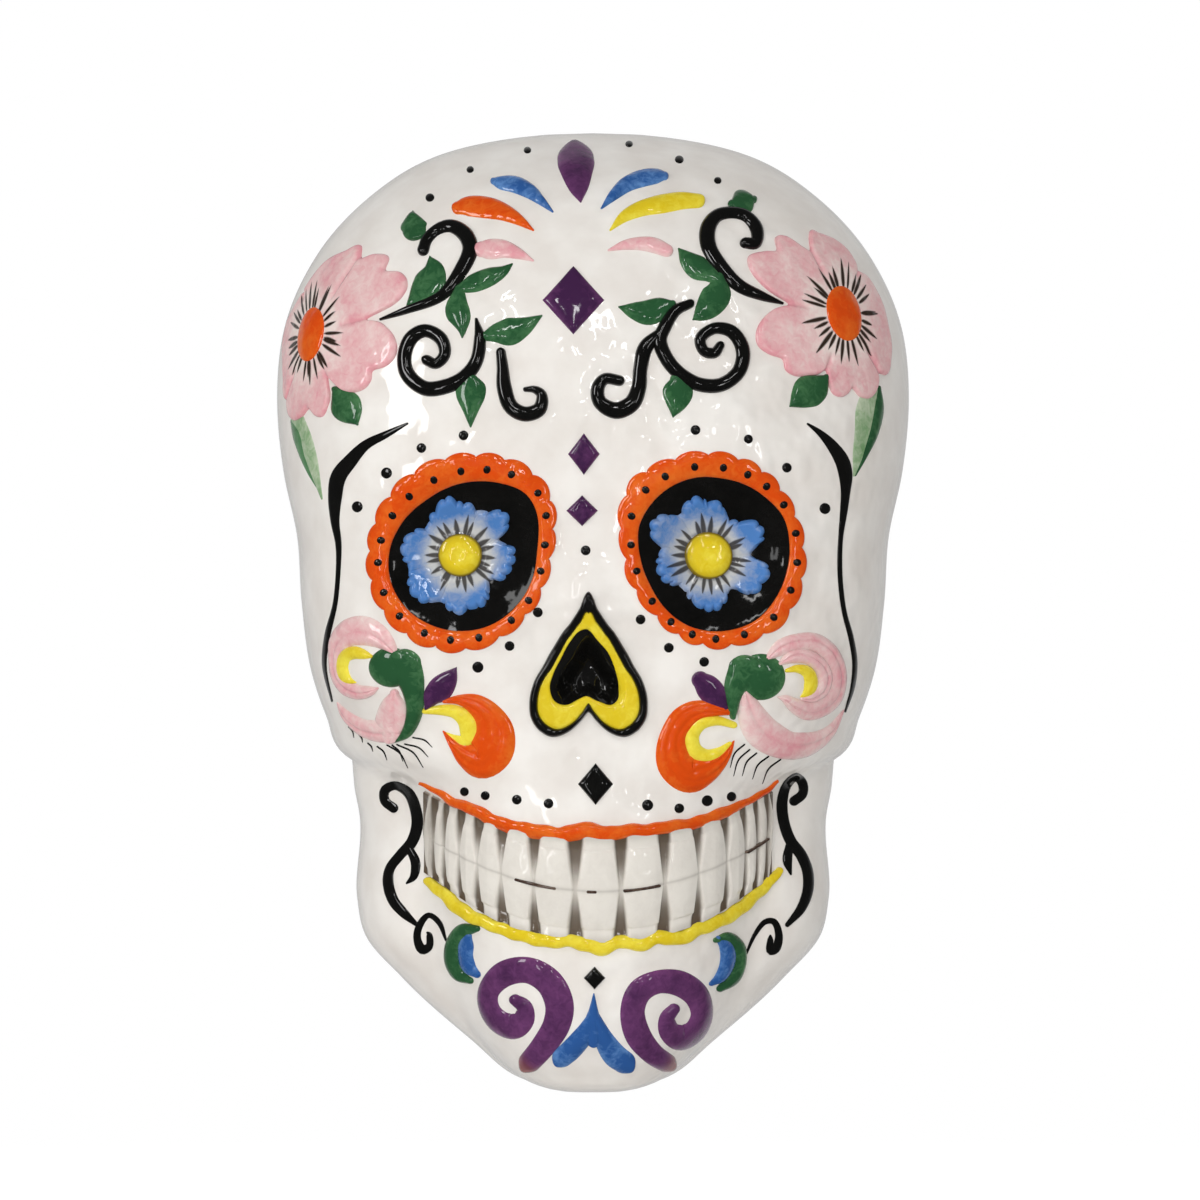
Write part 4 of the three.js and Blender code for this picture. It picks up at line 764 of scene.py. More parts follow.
# %% Black scrolls of the forehead
SCROLL_RELIEF = 1.7
ROPE_SWELL = 1.2  # the ropes spread a little as they were pressed on
SCROLLS = {
    "vine_left": [[[-60.5, 223, 0.3], [-53, 225.5, 0.9], [-43, 229.5, 1.3], [-38, 236, 1.7],
        [-35, 243, 1.9], [-36.5, 247.5, 1.9], [-40.5, 250, 1.6], [-44.5, 249, 1.3], [-47.5, 246, 1.3],
        [-48.5, 243, 1.4]]],
    "scroll_left": [[[-33, 222.5, 0.4], [-32, 217, 1.4], [-33, 210.5, 1.6], [-36.5, 206, 1.7],
        [-41.5, 203.5, 1.8], [-47.5, 203, 1.8], [-52.5, 207, 1.8], [-53.5, 212, 1.7], [-51.5, 217.5, 1.7],
        [-47.5, 219.5, 1.6], [-43, 217, 1.6], [-42, 212.5, 1.4], [-44.5, 210, 1.3], [-47, 211, 1.3]]],
    "hook_left": [[[-26, 213, 1.2], [-25.5, 209, 1.4], [-25, 203, 1.8], [-23, 197.5, 1.8],
        [-19, 195.5, 1.8], [-15, 197, 1.7], [-14.5, 201, 1.3], [-16.5, 202.5, 0.9], [-19, 202.5, 0.6]]],
    "vine_right": [[[54, 227.5, 0.3], [48, 229.5, 1.1], [41.5, 232.5, 1.6], [36.5, 238, 1.7],
        [33, 244, 1.9], [33, 249.5, 1.9], [35.5, 253, 1.6], [39.5, 254, 1.4], [44, 253, 1.4],
        [47, 249, 1.6], [46.5, 245, 1.4], [43.5, 245, 1.3]]],
    "scroll_right": [[[27.5, 227, 1.1], [23.5, 225, 1.4], [20.5, 220.5, 1.6], [19, 216.5, 1.7],
        [20.5, 212, 1.7], [24, 207.5, 1.7], [30, 204, 1.7], [36.5, 204, 1.7], [41.5, 208, 1.7],
        [42.5, 214, 1.7], [39.5, 219, 1.6], [34.5, 220, 1.4], [30.5, 217, 1.4], [31.5, 213.5, 1.3],
        [34.5, 213, 1.3], [36, 215, 1.1]],
        [[19.5, 219, 1.1], [15, 214.5, 1.8], [13.5, 208.5, 1.7], [13, 203, 1.8], [11, 198.5, 2],
        [6.5, 196.5, 2], [2, 199, 1.7], [1.5, 203, 1.6], [3.5, 205.5, 1.4], [7.5, 205, 1.3]]],
}
for name, spines in SCROLLS.items():
    ropes = [
        stroke(np.array(spine) * [1, 1, ROPE_SWELL], SCROLL_RELIEF, plump=2.0, soft=0.6) for spine in spines
    ]
    make_piece(f"{name}_rope", ropes, BLACK, name)
print("pieces so far:", len(pieces))

# %% [markdown]
# ## Buds and leaves
# The green leaves are pads that the modeller pinched to a point. Each one is a short, wide stroke, and
# where two leaves spring from one place they are two strokes of one piece.

# %% Green buds and leaves
LEAF_RELIEF = 1.2
LEAVES = {
    "bud_left": [[[-51.8, 254.8, 0.3], [-51.7, 252.6, 2.6], [-51.5, 250.6, 3.9], [-51.3, 249.4, 3.5]]],
    "leaf_left_upper": [[[-46.5, 241, 0.3], [-45.5, 237.5, 3.2], [-46.5, 233.5, 4.6], [-49.5, 229.5, 3.4],
        [-53, 226.5, 0.3]]],
    "leaf_pair_left": [
        [[-37.5, 231.5, 1.4], [-34, 233, 2.7], [-29, 235, 2.7], [-25.5, 236.5, 1.6], [-23, 238.5, 0.3]],
        [[-38, 231, 1.6], [-38.5, 225.5, 3.5], [-37.5, 222.5, 3], [-37, 219.5, 1.3], [-37, 217.5, 0.3]]],
    "leaf_left_inner": [[[-31, 217.5, 1.1], [-27.5, 218.5, 2.8], [-23.5, 219, 4], [-19.5, 220.5, 2.8],
        [-14.5, 223.5, 0.3]]],
    "leaf_left_lower": [[[-34.5, 206.5, 1.4], [-34.5, 204, 4], [-34.5, 200.5, 4.1], [-34.5, 196.5, 2.3],
        [-34.5, 192, 0.3]]],
    "leaf_left_temple": [[[-73.5, 203, 1.1], [-72, 201, 3.4], [-70.5, 198.5, 4.6], [-68.5, 195.5, 3.4],
        [-67, 193, 0.4]]],
    "bud_right": [[[40, 256.8, 1.3], [41.3, 257, 3.2], [43.2, 257.5, 4], [45.1, 258, 3],
        [46.1, 258.3, 1.2]]],
    "leaf_pair_right": [
        [[24.5, 243, 0.3], [27, 240, 2.6], [30, 237.5, 3.6], [33.5, 235.5, 2.3], [36, 233.5, 1.5]],
        [[36, 234.5, 1.6], [35.5, 230.5, 4], [33, 226.5, 3.8], [30.5, 224, 2.3], [28.5, 222.5, 0.3]]],
    "leaf_right_inner": [[[7.5, 226, 0.3], [11.5, 225, 2.5], [16, 224.5, 3.7], [19.5, 226, 3],
        [22.5, 227, 1.1]]],
    "leaf_right_lower": [[[24.2, 205.2, 2.4], [24.1, 203.2, 4], [24, 201.2, 4.3], [23.5, 198, 2.9],
        [22.7, 194.8, 0.3]]],
    "leaf_right_temple": [[[66.5, 206.5, 0.9], [64, 204, 4], [61, 202, 4.7], [58.5, 200, 3.1],
        [56, 198, 0.3]]],
}
for name, spines in LEAVES.items():
    pads = [stroke(spine, LEAF_RELIEF, plump=2.4) for spine in spines]
    make_piece(f"{name}_pad", pads, GREEN, name)
print("pieces so far:", len(pieces))

# %% [markdown]
# ## Flowers, rings and other round ornament
# Round pieces are rosettes: spokes round a middle by shares out to an outline. The outline is a
# function of the angle, so scallops and petals are one formula each, and so is the height. Sculpting
# them one by one would lose that order. Fine dark lines, such as the stamens, are painted into the mark
# ink: the grids are dense enough to draw a brush line.

# %% Rosette surface


def rosette(at, lift, spoke_count, shares, hole=False, root=0.8, marks=None):
    """Grid of angle by share on the skin: over the top from the middle out, and back in under the skin."""
    angle = np.linspace(0, 2 * np.pi, spoke_count, endpoint=False)[:, None]
    top = np.broadcast_to(shares[None, :], (spoke_count, len(shares)))
    share = np.concatenate([top, top[:, ::-1]], axis=1)
    height = np.concatenate([lift(angle, top), 0 * top - root], axis=1)
    x, z = at(angle, share)
    painted = {}
    for mark, rule in (marks or {}).items():
        painted[mark] = np.broadcast_to(rule(angle, share), share.shape)
    return on_skin(x, z, height), True, hole, painted


def rounded_edge(share, edge):
    """1 inside, and a quarter round from 1 to 0 over the outer part of the share."""
    t = np.clip((share - (1 - edge)) / edge, 0, 1)
    return np.sqrt(1 - t**2)


def rounded_band(share, plump):
    """Band section: (1 - |2 share - 1|^plump)^(1/2), 0 at both edges."""
    return np.clip(1 - np.abs(2 * share - 1) ** plump, 0, 1) ** 0.5


def round_keys(keys):
    """Closed smooth curve through [degrees, value] pairs, asked for with an angle in radians."""
    keys = np.asarray(keys, float)
    keys = keys[np.argsort(keys[:, 0])]
    curve = through_keys(np.concatenate([keys + [turn, 0] for turn in (-360, 0, 360)]))
    return lambda angle: curve(np.degrees(np.angle(np.exp(1j * angle))))


def lobes(angle, starts, roundness):
    """Round lobes that begin at these angles: sin(pi * share)^roundness of the share across each lobe."""
    starts = np.sort(np.mod(starts, 2 * np.pi))
    turned = np.mod(angle - starts[0], 2 * np.pi)
    steps = starts - starts[0]
    i = np.searchsorted(steps, turned, side="right") - 1
    share = (turned - steps[i]) / (np.append(steps[1:], 2 * np.pi)[i] - steps[i])
    return np.sin(np.pi * share) ** roundness


def dome(share):
    """Dome from 1 in the middle to a low edge: (1 - 0.98 * share^2)^(1/2)."""
    return np.sqrt(1 - 0.98 * share**2)


def dome_shares(count):
    """Shares from 0 to 1 at equal angles over a dome: the sine of the angle."""
    return np.sin(np.linspace(0, np.pi / 2, count))


def edge_shares(count, crowding):
    """Shares from 0 to 1 that crowd together at the edge: 1 - (1 - t)^crowding."""
    return 1 - (1 - np.linspace(0, 1, count)) ** crowding


def brush_lines(angle, radius, lines):
    """Ink of short radial strokes (angle, from, to, half width): pointed at both ends, like a brush dab."""
    at, start, end, wide = np.asarray(lines, float).T
    off = np.angle(np.exp(1j * (angle[..., None] - at))) * radius[..., None]
    t = np.clip((radius[..., None] - start) / (end - start), 0, 1)
    dab = wide * (4 * t * (1 - t)) ** 0.6 * (1.25 - 0.6 * t)
    return ((dab > 0) * (1 - smooth(np.abs(off), 0.55 * dab, 1.25 * dab + 0.02))).max(axis=-1)


BAND_SHARES = 0.5 - 0.5 * np.cos(np.linspace(0, np.pi, 17))
print("points across a band:", len(BAND_SHARES))

# %% [markdown]
# ## Eyes
# Each eye is a black glazed socket with a ruffled blue flower in it, a yellow domed heart, and an
# orange scalloped ring with a black dot in each scallop. The flower has six petals with frilled tips,
# and dark streaks run out from its heart. All four are rosettes. The outlines are drawn, and the
# scallops and frills are added to them by a formula. The brush was never quite regular, so a seeded
# random shift moves the frills and streaks, the same way in every run.

# %% Eye drawing
# Outlines by the angle from straight right: [degrees, mm]
EYE_DRAWING = {
    "left": {
        "socket": [[0, 21.8], [45, 24.9], [60, 23], [90, 19.9], [122, 18.1], [151, 18.7], [180, 20.2],
            [203, 21.2], [224, 21.6], [248, 21.7], [270, 21.8], [295, 21.9], [318, 21.7], [339, 21.7]],
        "ring": [[0, 26.7], [40, 31.6], [90, 28.6], [119, 27.5], [148, 26.9], [180, 27], [224, 28.3],
            [270, 28.1], [312, 26.5]],
        "dots": [6, 24, 38, 57, 72, 89, 109, 131, 150, 170, 186, 207, 226, 246, 264, 283, 308, 326, 348],
        "middle": (-37.2, 155.7), "heart": 6.1,
        "clefts": [-162, -114, -37, 23, 69, 139],
        "flower": [[-176, 17], [-164, 15.8], [-157, 17], [-139, 18.4], [-126, 17.4], [-114, 14.8],
            [-106, 16], [-91, 17.2], [-79, 15.9], [-70, 16.3], [-55, 14.4], [-42, 11.2], [-34, 13.5],
            [-17, 15.1], [0, 15.7], [8, 15.5], [22, 12.2], [30, 15.8], [40, 17.8], [48, 17.5], [56, 15.6],
            [69, 14.1], [80, 15.3], [92, 15.6], [102, 17.4], [109, 17.2], [120, 15.4], [130, 14.6],
            [140, 13.2], [151, 15.4], [168, 17.7]],
    },
    "right": {
        "socket": [[6, 22], [27, 22.4], [44, 21.7], [62, 21.3], [83, 21.1], [102, 21.6], [123, 21.9],
            [146, 22], [162, 21.9], [174, 21.1], [190, 20.3], [209, 20], [230, 20.8], [250, 21.8],
            [267, 22.3], [283, 22.6], [303, 22.8], [322, 22.2], [344, 21.8]],
        "ring": [[0, 26.8], [32, 26.8], [57, 27.9], [90, 28.8], [119, 29.8], [137, 31], [158, 29],
            [180, 26], [200, 25.4], [226, 25], [252, 26.5], [270, 27.5], [292, 28], [315, 28.8], [333, 28]],
        "dots": [102, 83, 66, 51, 34, 13, -7, -26, -47, -69, -88, -104, -121, -141, -166, 175, 156, 137,
            122],
        "middle": (32.3, 155.4), "heart": 6.9,
        "clefts": [-128, -54, 1, 62, 125, 168],
        "flower": [[-175, 14.7], [-160, 15.2], [-148, 14.5], [-128, 11.8], [-113, 13.5], [-91, 15.9],
            [-79, 16], [-64, 13.8], [-54, 11.8], [-41, 17.1], [-26, 18.4], [-8, 17.7], [1, 13],
            [17, 17.3], [35, 17.7], [48, 14], [62, 13.1], [75, 16.1], [90, 16.2], [100, 17.6],
            [118, 15.7], [125, 14.5], [135, 17.3], [150, 18.9], [162, 16.8], [168, 14.4]],
    },
}
SCALLOP_HEIGHT, LOBE_ROUNDNESS = 1.5, 0.6
RING_RELIEF, EYE_FLOWER_RELIEF, EYE_HEART_RELIEF = 0.9, 2.4, 4.2
PETAL_DIP, PETAL_CUP = 1.3, 1.1  # the petals sink toward their tips, and cup up again there
HEART_DIMPLE = 0.3
FRILLS, FRILL, FRILL_SPREAD = 30, 0.9, 0.045  # lobes along the petals: count, height, random shift
STREAKS, DAB_SPREAD = 22, 0.06  # dark strokes round the heart: count, random shift
DISH_LAP, DISH_LIFT = 0.8, 0.3  # the black reaches so far under the ring, and lies so far off the skin
DOT_SHARE = 0.42  # of the way across the ring
random = np.random.default_rng(7)


def round_dabs(count, start, lengths, widths):
    """Dabs (angle, from, to, half width) spread evenly round a heart, then shifted at random."""
    angle = np.linspace(0, 2 * np.pi, count, endpoint=False) + random.normal(0, DAB_SPREAD, count)
    end = start + random.uniform(*lengths, count)
    wide = random.uniform(*widths, count)
    return np.stack([angle, start + 0 * angle, end, wide], axis=1)


def round_point(middle, angle, radius):
    """Polar point of the drawing, the angle counted from straight right."""
    return middle[0] + radius * np.cos(angle), middle[1] + radius * np.sin(angle)


print("scallops:", {side: len(drawing["dots"]) for side, drawing in EYE_DRAWING.items()})

# %% [markdown]
# ## Building an eye
# Both eyes are built the same way from their own drawing, so one function makes the four pieces of an
# eye, from the black bowl up to the heart. The black lies just off the skin and runs under the ring, so
# no white shows where they meet.

# %% Eye pieces


def build_eye(side):
    """Socket glaze, ring, flower and heart of one eye; gives back the places of the ring's dots."""
    drawing = EYE_DRAWING[side]
    eye, middle, heart_radius = (EYES[side]["x"], EYES[side]["z"]), drawing["middle"], drawing["heart"]
    socket, ring_tip, petal_line = [round_keys(drawing[key]) for key in ("socket", "ring", "flower")]
    dots = np.sort(np.radians(drawing["dots"]))
    scallops = (dots + np.append(dots[1:], dots[0] + 2 * np.pi)) / 2
    clefts = np.radians(drawing["clefts"])
    frills = np.linspace(0, 2 * np.pi, FRILLS, endpoint=False) + random.normal(0, FRILL_SPREAD, FRILLS)
    streaks = round_dabs(STREAKS, heart_radius - 1.5, (5.0, 8.0), (0.65, 0.95))

    def ring_edge(angle):
        """Outer line of the ring: the tips less the hollows between two scallops."""
        return ring_tip(angle) - SCALLOP_HEIGHT * (1 - lobes(angle, scallops, LOBE_ROUNDNESS))

    def ring_point(angle, share):
        """Point across the ring, from the socket at 0 to the scallops at 1."""
        return round_point(eye, angle, socket(angle) + (ring_edge(angle) - socket(angle)) * share)

    def petal_tip(angle):
        """Outer line of the flower: the petals less the hollows between two frills."""
        return petal_line(angle) - FRILL * (1 - lobes(angle, frills, LOBE_ROUNDNESS))

    def petal_cup(angle):
        """0 in the clefts between the petals and 1 in their middles."""
        return lobes(angle, clefts, 0.5)

    def petal_lift(angle, share):
        """Relief that sinks with the share and cups up with its square, with a round edge."""
        cupped = EYE_FLOWER_RELIEF - PETAL_DIP * share + PETAL_CUP * petal_cup(angle) * share**2
        return cupped * rounded_edge(share, 0.08)

    def petal_ink(angle, share):
        """Dark streaks, and a soft shade where the heart meets the petals."""
        radius = share * petal_tip(angle)
        shade = 0.55 * (1 - smooth(radius, heart_radius, heart_radius + 1.4))
        return np.maximum(0.9 * brush_lines(angle + 0 * share, radius, streaks), shade)

    def heart_lift(angle, share):
        """Dome on top of the flower with a bell-shaped dimple in its middle."""
        dimple = HEART_DIMPLE * np.exp(-((share / 0.22) ** 2))
        rise = EYE_HEART_RELIEF - EYE_FLOWER_RELIEF
        return EYE_FLOWER_RELIEF + rise * dome(share) - dimple + 0 * angle

    dish = rosette(lambda a, s: round_point(eye, a, (socket(a) + DISH_LAP) * s),
        lambda a, s: DISH_LIFT + 0 * a * s, 160, np.linspace(0, 1, 44), marks={"wash": lambda a, s: 0.6})
    make_piece(f"socket_glaze_{side}", [dish], DISH_BLACK)
    ring = rosette(ring_point, lambda a, s: RING_RELIEF * rounded_band(s, 5.0) + 0 * a, 456, BAND_SHARES,
        hole=True, marks={"wash": lambda a, s: 0.7 + 0.25 * s})
    make_piece(f"scalloped_ring_{side}", [ring], ORANGE, f"eye_ring_{side}")
    flower = rosette(lambda a, s: round_point(middle, a, petal_tip(a) * s), petal_lift, 480,
        edge_shares(30, 1.3), marks={"ink": petal_ink,
            "wash": lambda a, s: smooth(s * petal_tip(a), 7.5, 15) - 0.12 * (1 - petal_cup(a))})
    make_piece(f"ruffled_flower_{side}", [flower], PALE_BLUE, f"eye_flower_{side}")
    # The heart's ink is painted shade: a little down its flanks and most at its foot, where it meets the
    # petals
    heart = rosette(lambda a, s: round_point(middle, a, heart_radius * s), heart_lift, 72,
        edge_shares(18, 1.4), marks={"wash": lambda a, s: 0.6 + 0.5 * s,
            "ink": lambda a, s: 0.25 * smooth(s, 0.5, 0.9) + 0.65 * smooth(s, 0.88, 0.96)})
    make_piece(f"flower_heart_{side}", [heart], YELLOW, f"eye_flower_heart_{side}")
    return [ring_point(dot_angle, DOT_SHARE) for dot_angle in dots]


ring_dots = build_eye("left") + build_eye("right")
print("ring dots:", len(ring_dots), "pieces so far:", len(pieces))

# %% [markdown]
# ## Temple flowers
# The two pink flowers wrap round the temples, so they are drawn flat and rolled on: a point so far out
# along the girth and so far up is looked up in a table of the head's girth. Each has five petals with
# notched tips, wiped back to white toward the middle, and a burst of dark stamens round a domed orange
# heart. The outline is drawn by the angle from straight outward, tip by tip and notch by notch.

# %% Girth table
GIRTH_STEP = 0.5  # spacing along the girth
GIRTH_ROOM = 0.995  # share of the girth up to the rim that ornament may use
GIRTH_Z = np.arange(150.0, 279.5, 1.0)
GIRTH_RUN = np.arange(0.0, 150.0, GIRTH_STEP)
girth_x = half_width(GIRTH_Z)[:, None] * dome_shares(400)[None, :]
girth_y = plain_depth(girth_x, GIRTH_Z[:, None])
girth_step = np.hypot(np.diff(girth_x, axis=1), np.diff(girth_y, axis=1))
girth_run = np.concatenate([0 * girth_x[:, :1], np.cumsum(girth_step, axis=1)], axis=1)
x_at = np.array([np.interp(GIRTH_RUN, run, x) for run, x in zip(girth_run, girth_x)])
print("girth table:", x_at.shape)


def rolled_on(flower, out, up):
    """Flat point to the drawing: z goes up, and x is read from the girth table between rows and runs."""
    z = np.clip(flower["z"] + up, GIRTH_Z[0], GIRTH_Z[-1] - 1e-6)
    row = z - GIRTH_Z[0]
    i = row.astype(int)
    whole = np.interp(z, GIRTH_Z, girth_run[:, -1])
    column = np.clip(flower["run"] + out, 0, whole * GIRTH_ROOM) / GIRTH_STEP
    j = np.minimum(column.astype(int), len(GIRTH_RUN) - 2)
    a, b = row - i, column - j
    low = x_at[i, j] * (1 - b) + x_at[i, j + 1] * b
    high = x_at[i + 1, j] * (1 - b) + x_at[i + 1, j + 1] * b
    return flower["side"] * (low * (1 - a) + high * a), z


# %% [markdown]
# ## Drawing of the temple flowers
# The two flowers aren't mirror images: each petal was cut and notched by hand. A formula would make
# them too regular, so each outline is a list of angles and radii with a smooth curve through them.

# %% Temple flower drawing
TEMPLE_FLOWERS = {
    "left": {"side": -1, "z": 219.2, "run": 90.7, "heart": 7.3,
        "grooves": [55, 129, 170, 235, 308], "outline": [
        [-5, 21.8], [13, 20.5], [31, 17.2], [51, 16.2], [69, 17.5], [97, 22.5], [116, 27.5], [125, 31.5],
        [131, 29.3], [137, 33.9], [144, 36.4], [147, 34], [153, 38.2], [158, 39], [162, 37.5], [166, 33],
        [170, 23.5], [174, 28], [178, 30.6], [183, 32.9], [190, 34], [198, 31.6], [203, 28.1], [208, 28.7],
        [214, 28.3], [221, 26], [227, 22.9], [235, 15.5], [240, 20.3], [246, 22.8], [252, 24.6],
        [260, 24.1], [269, 21.5], [279, 24], [290, 26.2], [300, 26.2], [308, 24], [313, 24.6], [324, 22],
        [339, 21]]},
    "right": {"side": 1, "z": 224.8, "run": 77.1, "heart": 7.4,
        "grooves": [54, 120, 173, 245, 311], "outline": [
        [5, 22], [20, 20.3], [40, 18.4], [54, 16.7], [63, 18.6], [74, 20.6], [88, 22.3], [105, 25],
        [111, 26.4], [115, 24.6], [120, 21.5], [126, 24.4], [131, 30], [136, 31.7], [141, 29.2],
        [147, 32.6], [153, 35.7], [157, 34.7], [161, 31.9], [166, 27], [173, 19.8], [178, 24.5],
        [182, 27], [186, 29], [192, 30.8], [198, 31.1], [205, 28.7], [211, 25.9], [218, 26.8],
        [226, 25.4], [232, 22.9], [240, 20.3], [245, 18.2], [251, 21.2], [255, 23.1], [262, 24.1],
        [270, 23.3], [276, 21.6], [282, 24], [289, 25.7], [297, 26.1], [305, 24.8], [311, 22.6],
        [320, 26.3], [331, 26], [341, 25.2], [352, 23]]},
}
PETAL_RELIEF, FLOWER_HEART_RELIEF, HEART_FOOT = 1.2, 2.0, 0.9
CLEFT_WIDTH, CLEFT_FROM, CLEFT_FULL = 0.8, 11.0, 15.0  # grooves: half width, radii at both ends
STAMENS = 29
HEART_LEAN, HEART_OVAL = 1.9, 0.08  # angle of the long axis, and how much longer it is
print("outline points:", {side: len(flower["outline"]) for side, flower in TEMPLE_FLOWERS.items()})

# %% [markdown]
# ## Building a temple flower
# A petal is a thin slip of clay, plump toward its tip and pressed down in the groove beside its
# neighbour. The five run together, so one grid holds them all. The stamens are brushed on and have no
# body, so they are ink on its points.

# %% Temple flower pieces


def build_temple_flower(side):
    """Petals with grooves between them, stamens in ink, and the domed heart."""
    flower = TEMPLE_FLOWERS[side]
    edge = round_keys(flower["outline"])
    grooves = np.radians(flower["grooves"])
    stamens = round_dabs(STAMENS, flower["heart"] - 0.3, (5.0, 9.5), (0.55, 0.85))

    def flat(angle, radius):
        """Polar point of the flat flower, rolled on to the temple."""
        return rolled_on(flower, radius * np.cos(angle), radius * np.sin(angle))

    def groove(angle, radius):
        """Bell across each groove, which fades out toward the heart."""
        off = np.abs(np.angle(np.exp(1j * (angle[..., None] - grooves)))).min(axis=-1) * radius
        return np.exp(-((off / CLEFT_WIDTH) ** 2)) * smooth(radius, CLEFT_FROM, CLEFT_FULL)

    def petal_lift(angle, share):
        """Relief that grows outward, with a round edge, half as high in the grooves."""
        pressed = 1 - 0.5 * groove(angle, share * edge(angle))
        return PETAL_RELIEF * (0.7 + 0.3 * share) * rounded_edge(share, 0.07) * pressed

    def petal_wash(angle, share):
        """Wiped back round the heart and deeper outward and at the edge, with painted shade in the grooves.
        """
        radius = share * edge(angle)
        # The groove term is painted shade
        deep = 0.08 + 0.55 * smooth(radius, 9, 19) + 0.3 * groove(angle, radius)
        return deep + 0.2 * smooth(share, 0.9, 1.0)

    def heart_edge(angle):
        """Slightly oval outline of the heart."""
        return 1 + HEART_OVAL * np.cos(2 * (angle - HEART_LEAN))

    petals = rosette(lambda a, s: flat(a, edge(a) * s), petal_lift, 540, edge_shares(46, 1.3),
        marks={"wash": petal_wash, "ink": lambda a, s: brush_lines(a + 0 * s, s * edge(a), stamens)})
    make_piece(f"pink_petals_{side}", [petals], PINK, f"temple_flower_{side}")
    heart = rosette(lambda a, s: flat(a, flower["heart"] * s * heart_edge(a)),
        lambda a, s: HEART_FOOT + (FLOWER_HEART_RELIEF - HEART_FOOT) * dome(s) + 0 * a, 72,
        edge_shares(16, 1.4), marks={"wash": lambda a, s: 1.0 - 0.25 * s})
    make_piece(f"petal_heart_{side}", [heart], ORANGE, f"temple_flower_heart_{side}")


build_temple_flower("left")
build_temple_flower("right")
print("pieces so far:", len(pieces))

# %% [markdown]
# ## Nose
# A black coil outlines an upturned heart. Inside it lies a yellow band, widest at the two lobes, round
# a black glazed cavity. All three are rosettes whose radius is read by the angle from the top of the
# nose, because the outlines of coil, band and cavity differ and have to meet without a gap.

# %% Nose pieces
# Edges of coil and cavity by the angle from straight up, clockwise: [degrees, mm]
COIL_EDGE = [[0, 24.4], [7, 20], [15, 17.2], [30, 14.8], [45, 13.4], [60, 13], [75, 13.3], [95, 15.6],
    [113, 18.2], [126, 20], [139, 20.4], [149, 19.6], [160, 16.3], [169.5, 12.6], [180, 9.8]]
CAVITY_EDGE = [[358, 13.8], [13, 11.2], [44, 8.6], [84, 8.2], [108, 9.1], [129, 10.4], [141, 10],
    [155, 7.7], [186, 5.3], [204, 6.9], [220, 10.2], [235, 11.6], [252, 11.4], [275, 10], [310, 9.6],
    [336, 11.7], [349, 13.4]]
COIL_RELIEF, BAND_RELIEF = 1.8, 0.9
COIL_WIDTH = 2.8
COIL_TOP, COIL_TOP_SPREAD = 3.5, 6.5  # the coil is so much wider at its point, within so many degrees
COIL_LAP, CAVITY_LAP, CAVITY_LIFT = 0.4, 0.3, 0.4  # laps under coil and band, and the black's own lift
NOSE_SPOKES = 360
coil_edge = round_keys(COIL_EDGE + [[-angle, radius] for angle, radius in COIL_EDGE[1:-1]])
cavity_edge = round_keys(CAVITY_EDGE)


def nose_point(angle, radius):
    """Polar point round the nose, the angle counted clockwise from straight up."""
    return NOSE_X + radius * np.sin(angle), NOSE_Z + radius * np.cos(angle)


def coil_inner(angle):
    """Inner edge of the coil, which fills the point at the top."""
    from_top = np.degrees(np.angle(np.exp(1j * angle)))
    return coil_edge(angle) - COIL_WIDTH - COIL_TOP * np.exp(-np.abs(from_top) / COIL_TOP_SPREAD)


def band_point(angle, share):
    """Point across the yellow band, from the cavity at 0 to just under the coil at 1."""
    outer = coil_inner(angle) + COIL_LAP
    return nose_point(angle, cavity_edge(angle) + (outer - cavity_edge(angle)) * share)


coil = rosette(lambda a, s: nose_point(a, coil_inner(a) + (coil_edge(a) - coil_inner(a)) * s),
    lambda a, s: COIL_RELIEF * rounded_band(s, 2.2) + 0 * a, NOSE_SPOKES, BAND_SHARES, hole=True,
    marks={"wash": lambda a, s: 0.8})
make_piece("nose_rope", [coil], BLACK, "nose_coil")
band = rosette(band_point,
    lambda a, s: BAND_RELIEF * rounded_band(s, 6.0) + 0 * a, NOSE_SPOKES, BAND_SHARES, hole=True,
    marks={"wash": lambda a, s: 1.0 - 0.2 * s})
make_piece("nose_yellow_band", [band], YELLOW, "nose_band")
cavity = rosette(lambda a, s: nose_point(a, (cavity_edge(a) + CAVITY_LAP) * s),
    lambda a, s: CAVITY_LIFT + 0 * a * s, NOSE_SPOKES, np.linspace(0, 1, 60),
    marks={"wash": lambda a, s: 0.6})
make_piece("nose_cavity_glaze", [cavity], BLACK)
print("pieces so far:", len(pieces))

# %% [markdown]
# ## Cheek ornament
# Each cheek carries a rose of pink petals with a yellow crescent, a green comma that curls over it, a
# small purple leaf, and an orange paisley with its own yellow crescent. They are plump strokes that
# overlap, as the modeller laid one over the other. Soft grooves are pressed along the petals and
# paisleys, and an oval pad makes the round head of each comma.

# %% Cheek strokes
CHEEK_RELIEF, CHEEK_PLUMP = 1.5, 2.6
COMMA_SWELL = 1.15  # the commas stand a little higher
CRESCENT_RELIEF = 1.3
CHEEK_GROOVES = {"rose": (0.1,), "paisley": (-0.35, 0.3)}  # places across a stroke, from -1 to 1
ROSE_LEFT = [
    [[-56.2, 128.4, 1.2], [-58.4, 130.8, 2.4], [-61.5, 133, 3.6], [-65.5, 134.3, 4.2],
        [-69.7, 133.5, 3.9], [-72.6, 130.5, 3], [-73.5, 126.3, 1.9], [-72.9, 121.4, 1.9],
        [-70.1, 117.9, 2.3], [-66.3, 116.7, 2.1], [-62.9, 117.2, 1.4], [-61.2, 117.9, 0.4]],
    [[-56.3, 116.4, 1.4], [-56.5, 114.2, 3.2], [-57, 110.6, 4.5], [-57.3, 107.3, 4.8], [-57.4, 105.2, 3]],
    [[-57.5, 105.5, 3.2], [-61.5, 105.6, 3.2], [-65.5, 106.4, 2.6], [-69, 108.6, 1.8], [-71.6, 111.2, 1],
        [-73.3, 113.6, 0.15]],
]
